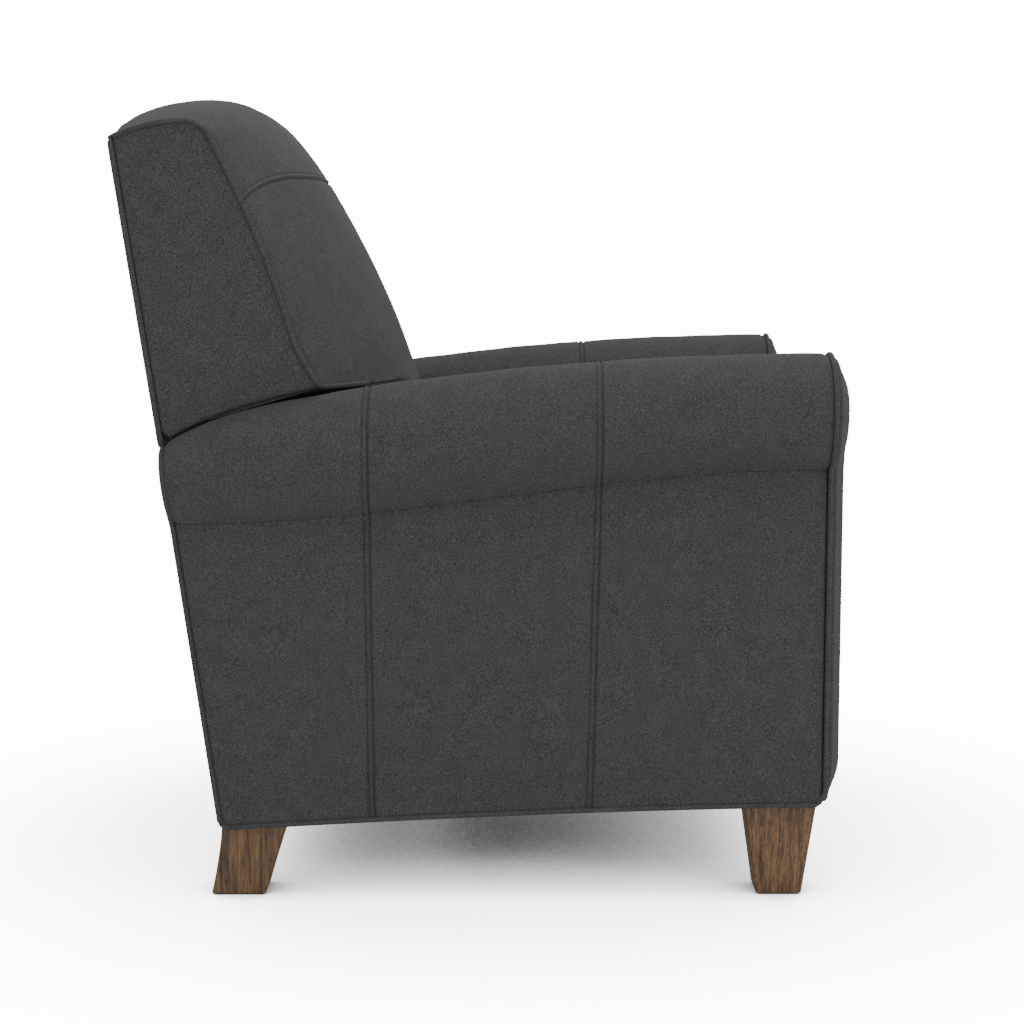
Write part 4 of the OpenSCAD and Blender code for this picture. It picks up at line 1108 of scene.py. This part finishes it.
class RECLINER_OT_footrest_pad(bpy.types.Operator):
    """Padded front of the footrest"""
    bl_idname = "recliner.footrest_pad"
    bl_label = "Footrest pad"

    def execute(self, context):
        half = (PAD_HIGH[0] - PAD_LOW[0]) / 2
        middle = (PAD_HIGH[2] + PAD_LOW[2]) / 2
        tall = (PAD_HIGH[2] - PAD_LOW[2]) / 2
        rings = pillow_rings(half, (0, 0.011), (tall, 0.011), 0.007, 0, 0, 0.009)
        turned = np.stack([rings[..., 0], PAD_HIGH[1] - rings[..., 2], middle + rings[..., 1]], 2)

        def is_held(points):
            rim = np.maximum(np.abs(points[:, 0]) - half, np.abs(points[:, 2] - middle) - tall) > -0.008
            return rim | (points[:, 1] > PAD_HIGH[1] - 0.005)

        skin = ring_skin(turned + settled(turned, is_held, 2.0, 0.010, 0.004))
        pad = add_piece("footrest_upholstery", skin, "footrest", sharp=60)
        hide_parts("footrest_pad")
        return {"FINISHED"}


def rounded_rectangle(half_x, half_y, radius, per_corner=6):
    """Points round a rectangle with quarter-circle corners, for arrays of half sizes."""
    turn = np.concatenate([np.linspace(a, a + pi / 2, per_corner) for a in (0, pi / 2, pi, 3 * pi / 2)])
    corner_x = np.repeat([1, -1, -1, 1], per_corner)
    corner_y = np.repeat([1, 1, -1, -1], per_corner)
    x = corner_x * (half_x[:, None] - radius) + radius * np.cos(turn)
    y = corner_y * (half_y[:, None] - radius) + radius * np.sin(turn)
    return x, y


class RECLINER_OT_legs(bpy.types.Operator):
    """Tapered front legs and sabre rear legs, with eased edges"""
    bl_idname = "recliner.legs"
    bl_label = "Legs"

    def execute(self, context):
        ease = np.array([0.0020, 0.0010, 0.0004, 0.0])
        share = np.concatenate([[0, 0.006, 0.012, 0.02], np.linspace(0.05, 1, 30)])
        foot = np.concatenate([ease, np.zeros(30)])
        centre_x = (LEG_LOW[0] + LEG_HIGH[0]) / 2
        centre_y = (LEG_LOW[1] + LEG_HIGH[1]) / 2
        z = mix(LEG_BOTTOM, LEG_HIGH[2], share)
        x, y = rounded_rectangle(mix(0.029, 0.040, share) - foot, mix(0.029, 0.046, share) - foot, 0.0028)
        front = np.stack([centre_x + x, centre_y + y, z[:, None] + 0 * x], 2)
        z = mix(LEG_BOTTOM, REAR_LEG_HIGH[2], share)
        low = (REAR_LEG_HIGH[2] - z) / (REAR_LEG_HIGH[2] - LEG_BOTTOM)
        front_edge = REAR_FOOT - 0.086 + 0.030 * low ** 0.9 + foot
        rear_edge = REAR_FOOT - 0.001 + 0.0145 * low ** 1.45 - foot
        x, y = rounded_rectangle(0.031 - foot, (rear_edge - front_edge) / 2, 0.0028)
        middle = ((rear_edge + front_edge) / 2)[:, None]
        rear = np.stack([centre_x + x, middle + y, z[:, None] + 0 * x], 2)
        for side, flip in SIDES.items():
            for end, rings in (("front", front), ("rear", rear)):
                leg = add_piece(f"{end}_leg_wood_{side}", ring_skin(rings * flip), "frame", "walnut",
                                sharp=50)
                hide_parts(f"{end}_leg_{side}")
        return {"FINISHED"}


class RECLINER_OT_frame_finishes(bpy.types.Operator):
    """Wood, steel, zinc, webbing and plastic on the frame's own pieces"""
    bl_idname = "recliner.frame_finishes"
    bl_label = "Frame finishes"

    def execute(self, context):
        by_slot = {"frame_wood": "plywood", "leg_wood": "walnut", "steel": "steel", "zinc": "zinc",
                   "webbing": "webbing", "glide": "glide", "cover": "fabric", "cushion": "fabric"}
        for subpart in frame["record"]["subparts"]:
            piece = frame["nodes"][subpart["node"]]
            for place in piece.material_slots:
                place.material = finish(by_slot[subpart["material_slot"]])
        return {"FINISHED"}


class RECLINER_OT_studio(bpy.types.Operator):
    """Camera at the photograph's angle, pale floor, soft lights and a white surround"""
    bl_idname = "recliner.studio"
    bl_label = "Studio"

    def execute(self, context):
        scene = context.scene
        lens = bpy.data.cameras.new("side_camera")
        lens.sensor_width = 36.0
        lens.lens = 74.64
        camera = bpy.data.objects.new("side_camera", lens)
        camera.location = (-2.990, -0.040, 0.8126)
        camera.rotation_euler = (radians(90 - 6.796), 0, radians(-90))
        scene.collection.objects.link(camera)
        scene.camera = camera
        self.add_floor(scene)
        self.add_light(scene, "overhead_light", (0.0, 0.0, 3.2), (0, 0, 0), 3.4, 38)
        self.add_light(scene, "side_light", (-3.2, -1.6, 2.4), (radians(60), 0, radians(-63)), 2.4, 21)
        self.add_light(scene, "front_light", (0.6, -3.4, 2.0), (radians(65), 0, radians(10)), 2.2, 2)
        world = scene.world or bpy.data.worlds.new("white_surround")
        scene.world = world
        world.use_nodes = True
        tree = world.node_tree
        tree.nodes.clear()
        seen = add(tree, "ShaderNodeLightPath").outputs["Is Camera Ray"]
        bright = add(tree, "ShaderNodeMapRange", {"Value": seen, "To Min": 0.68, "To Max": PAPER_WHITE})
        sky = add(tree, "ShaderNodeBackground", {"Color": (1, 1, 1, 1), "Strength": bright.outputs["Result"]})
        add(tree, "ShaderNodeOutputWorld", {"Surface": sky.outputs["Background"]})
        return {"FINISHED"}

    def add_floor(self, scene):
        """A round pale floor, wide enough to pass for the surround. It glows white towards the camera, with a
        painted shadow near the chair.
        """
        turn = np.linspace(0, 2 * pi, 96, endpoint=False)
        points = np.stack([14 * np.cos(turn), 14 * np.sin(turn), 0 * turn], 1)
        mesh = bpy.data.meshes.new("studio_floor")
        mesh.from_pydata(points.tolist(), [], [list(range(96))])
        mesh.materials.append(floor_glow_with_painted_shadow())
        floor = bpy.data.objects.new("studio_floor", mesh)
        scene.collection.objects.link(floor)

    def add_light(self, scene, name, place, turn, size, power):
        """A square soft light."""
        lamp = bpy.data.lights.new(name, "AREA")
        lamp.shape = "SQUARE"
        lamp.size = size
        lamp.energy = power
        light = bpy.data.objects.new(name, lamp)
        light.location = place
        light.rotation_euler = turn
        scene.collection.objects.link(light)


STEPS = (
    RECLINER_OT_studio,
    RECLINER_OT_frame_finishes,
    RECLINER_OT_arm_covers,
    RECLINER_OT_outside_panels,
    RECLINER_OT_arm_fronts,
    RECLINER_OT_rear_panel,
    RECLINER_OT_back_cushion,
    RECLINER_OT_wings,
    RECLINER_OT_outside_back,
    RECLINER_OT_seat_cushion,
    RECLINER_OT_footrest_pad,
    RECLINER_OT_legs,
)


class RECLINER_PT_panel(bpy.types.Panel):
    """The recliner's sizes, colours and steps"""
    bl_idname = "RECLINER_PT_panel"
    bl_label = "High-leg recliner"
    bl_space_type = "VIEW_3D"
    bl_region_type = "UI"
    bl_category = "Recliner"

    def draw(self, context):
        layout = self.layout
        for group in (context.scene.recliner_sizes, context.scene.recliner_colours):
            for key in group.bl_rna.properties.keys():
                if key not in ("rna_type", "name"):
                    layout.prop(group, key)
        for step in STEPS:
            layout.operator(step.bl_idname)


CLASSES = (ReclinerSizes, ReclinerColours, *STEPS, RECLINER_PT_panel)


def register():
    """Registers the classes and hangs the two property groups on the scene."""
    for cls in CLASSES:
        bpy.utils.register_class(cls)
    bpy.types.Scene.recliner_sizes = PointerProperty(type=ReclinerSizes)
    bpy.types.Scene.recliner_colours = PointerProperty(type=ReclinerColours)


def unregister():
    """Takes both groups and all classes away again."""
    del bpy.types.Scene.recliner_colours
    del bpy.types.Scene.recliner_sizes
    for cls in reversed(CLASSES):
        bpy.utils.unregister_class(cls)


def main():
    register()
    for step in STEPS:
        group, name = step.bl_idname.split(".")
        getattr(getattr(bpy.ops, group), name)()


if __name__ == "__main__":
    main()
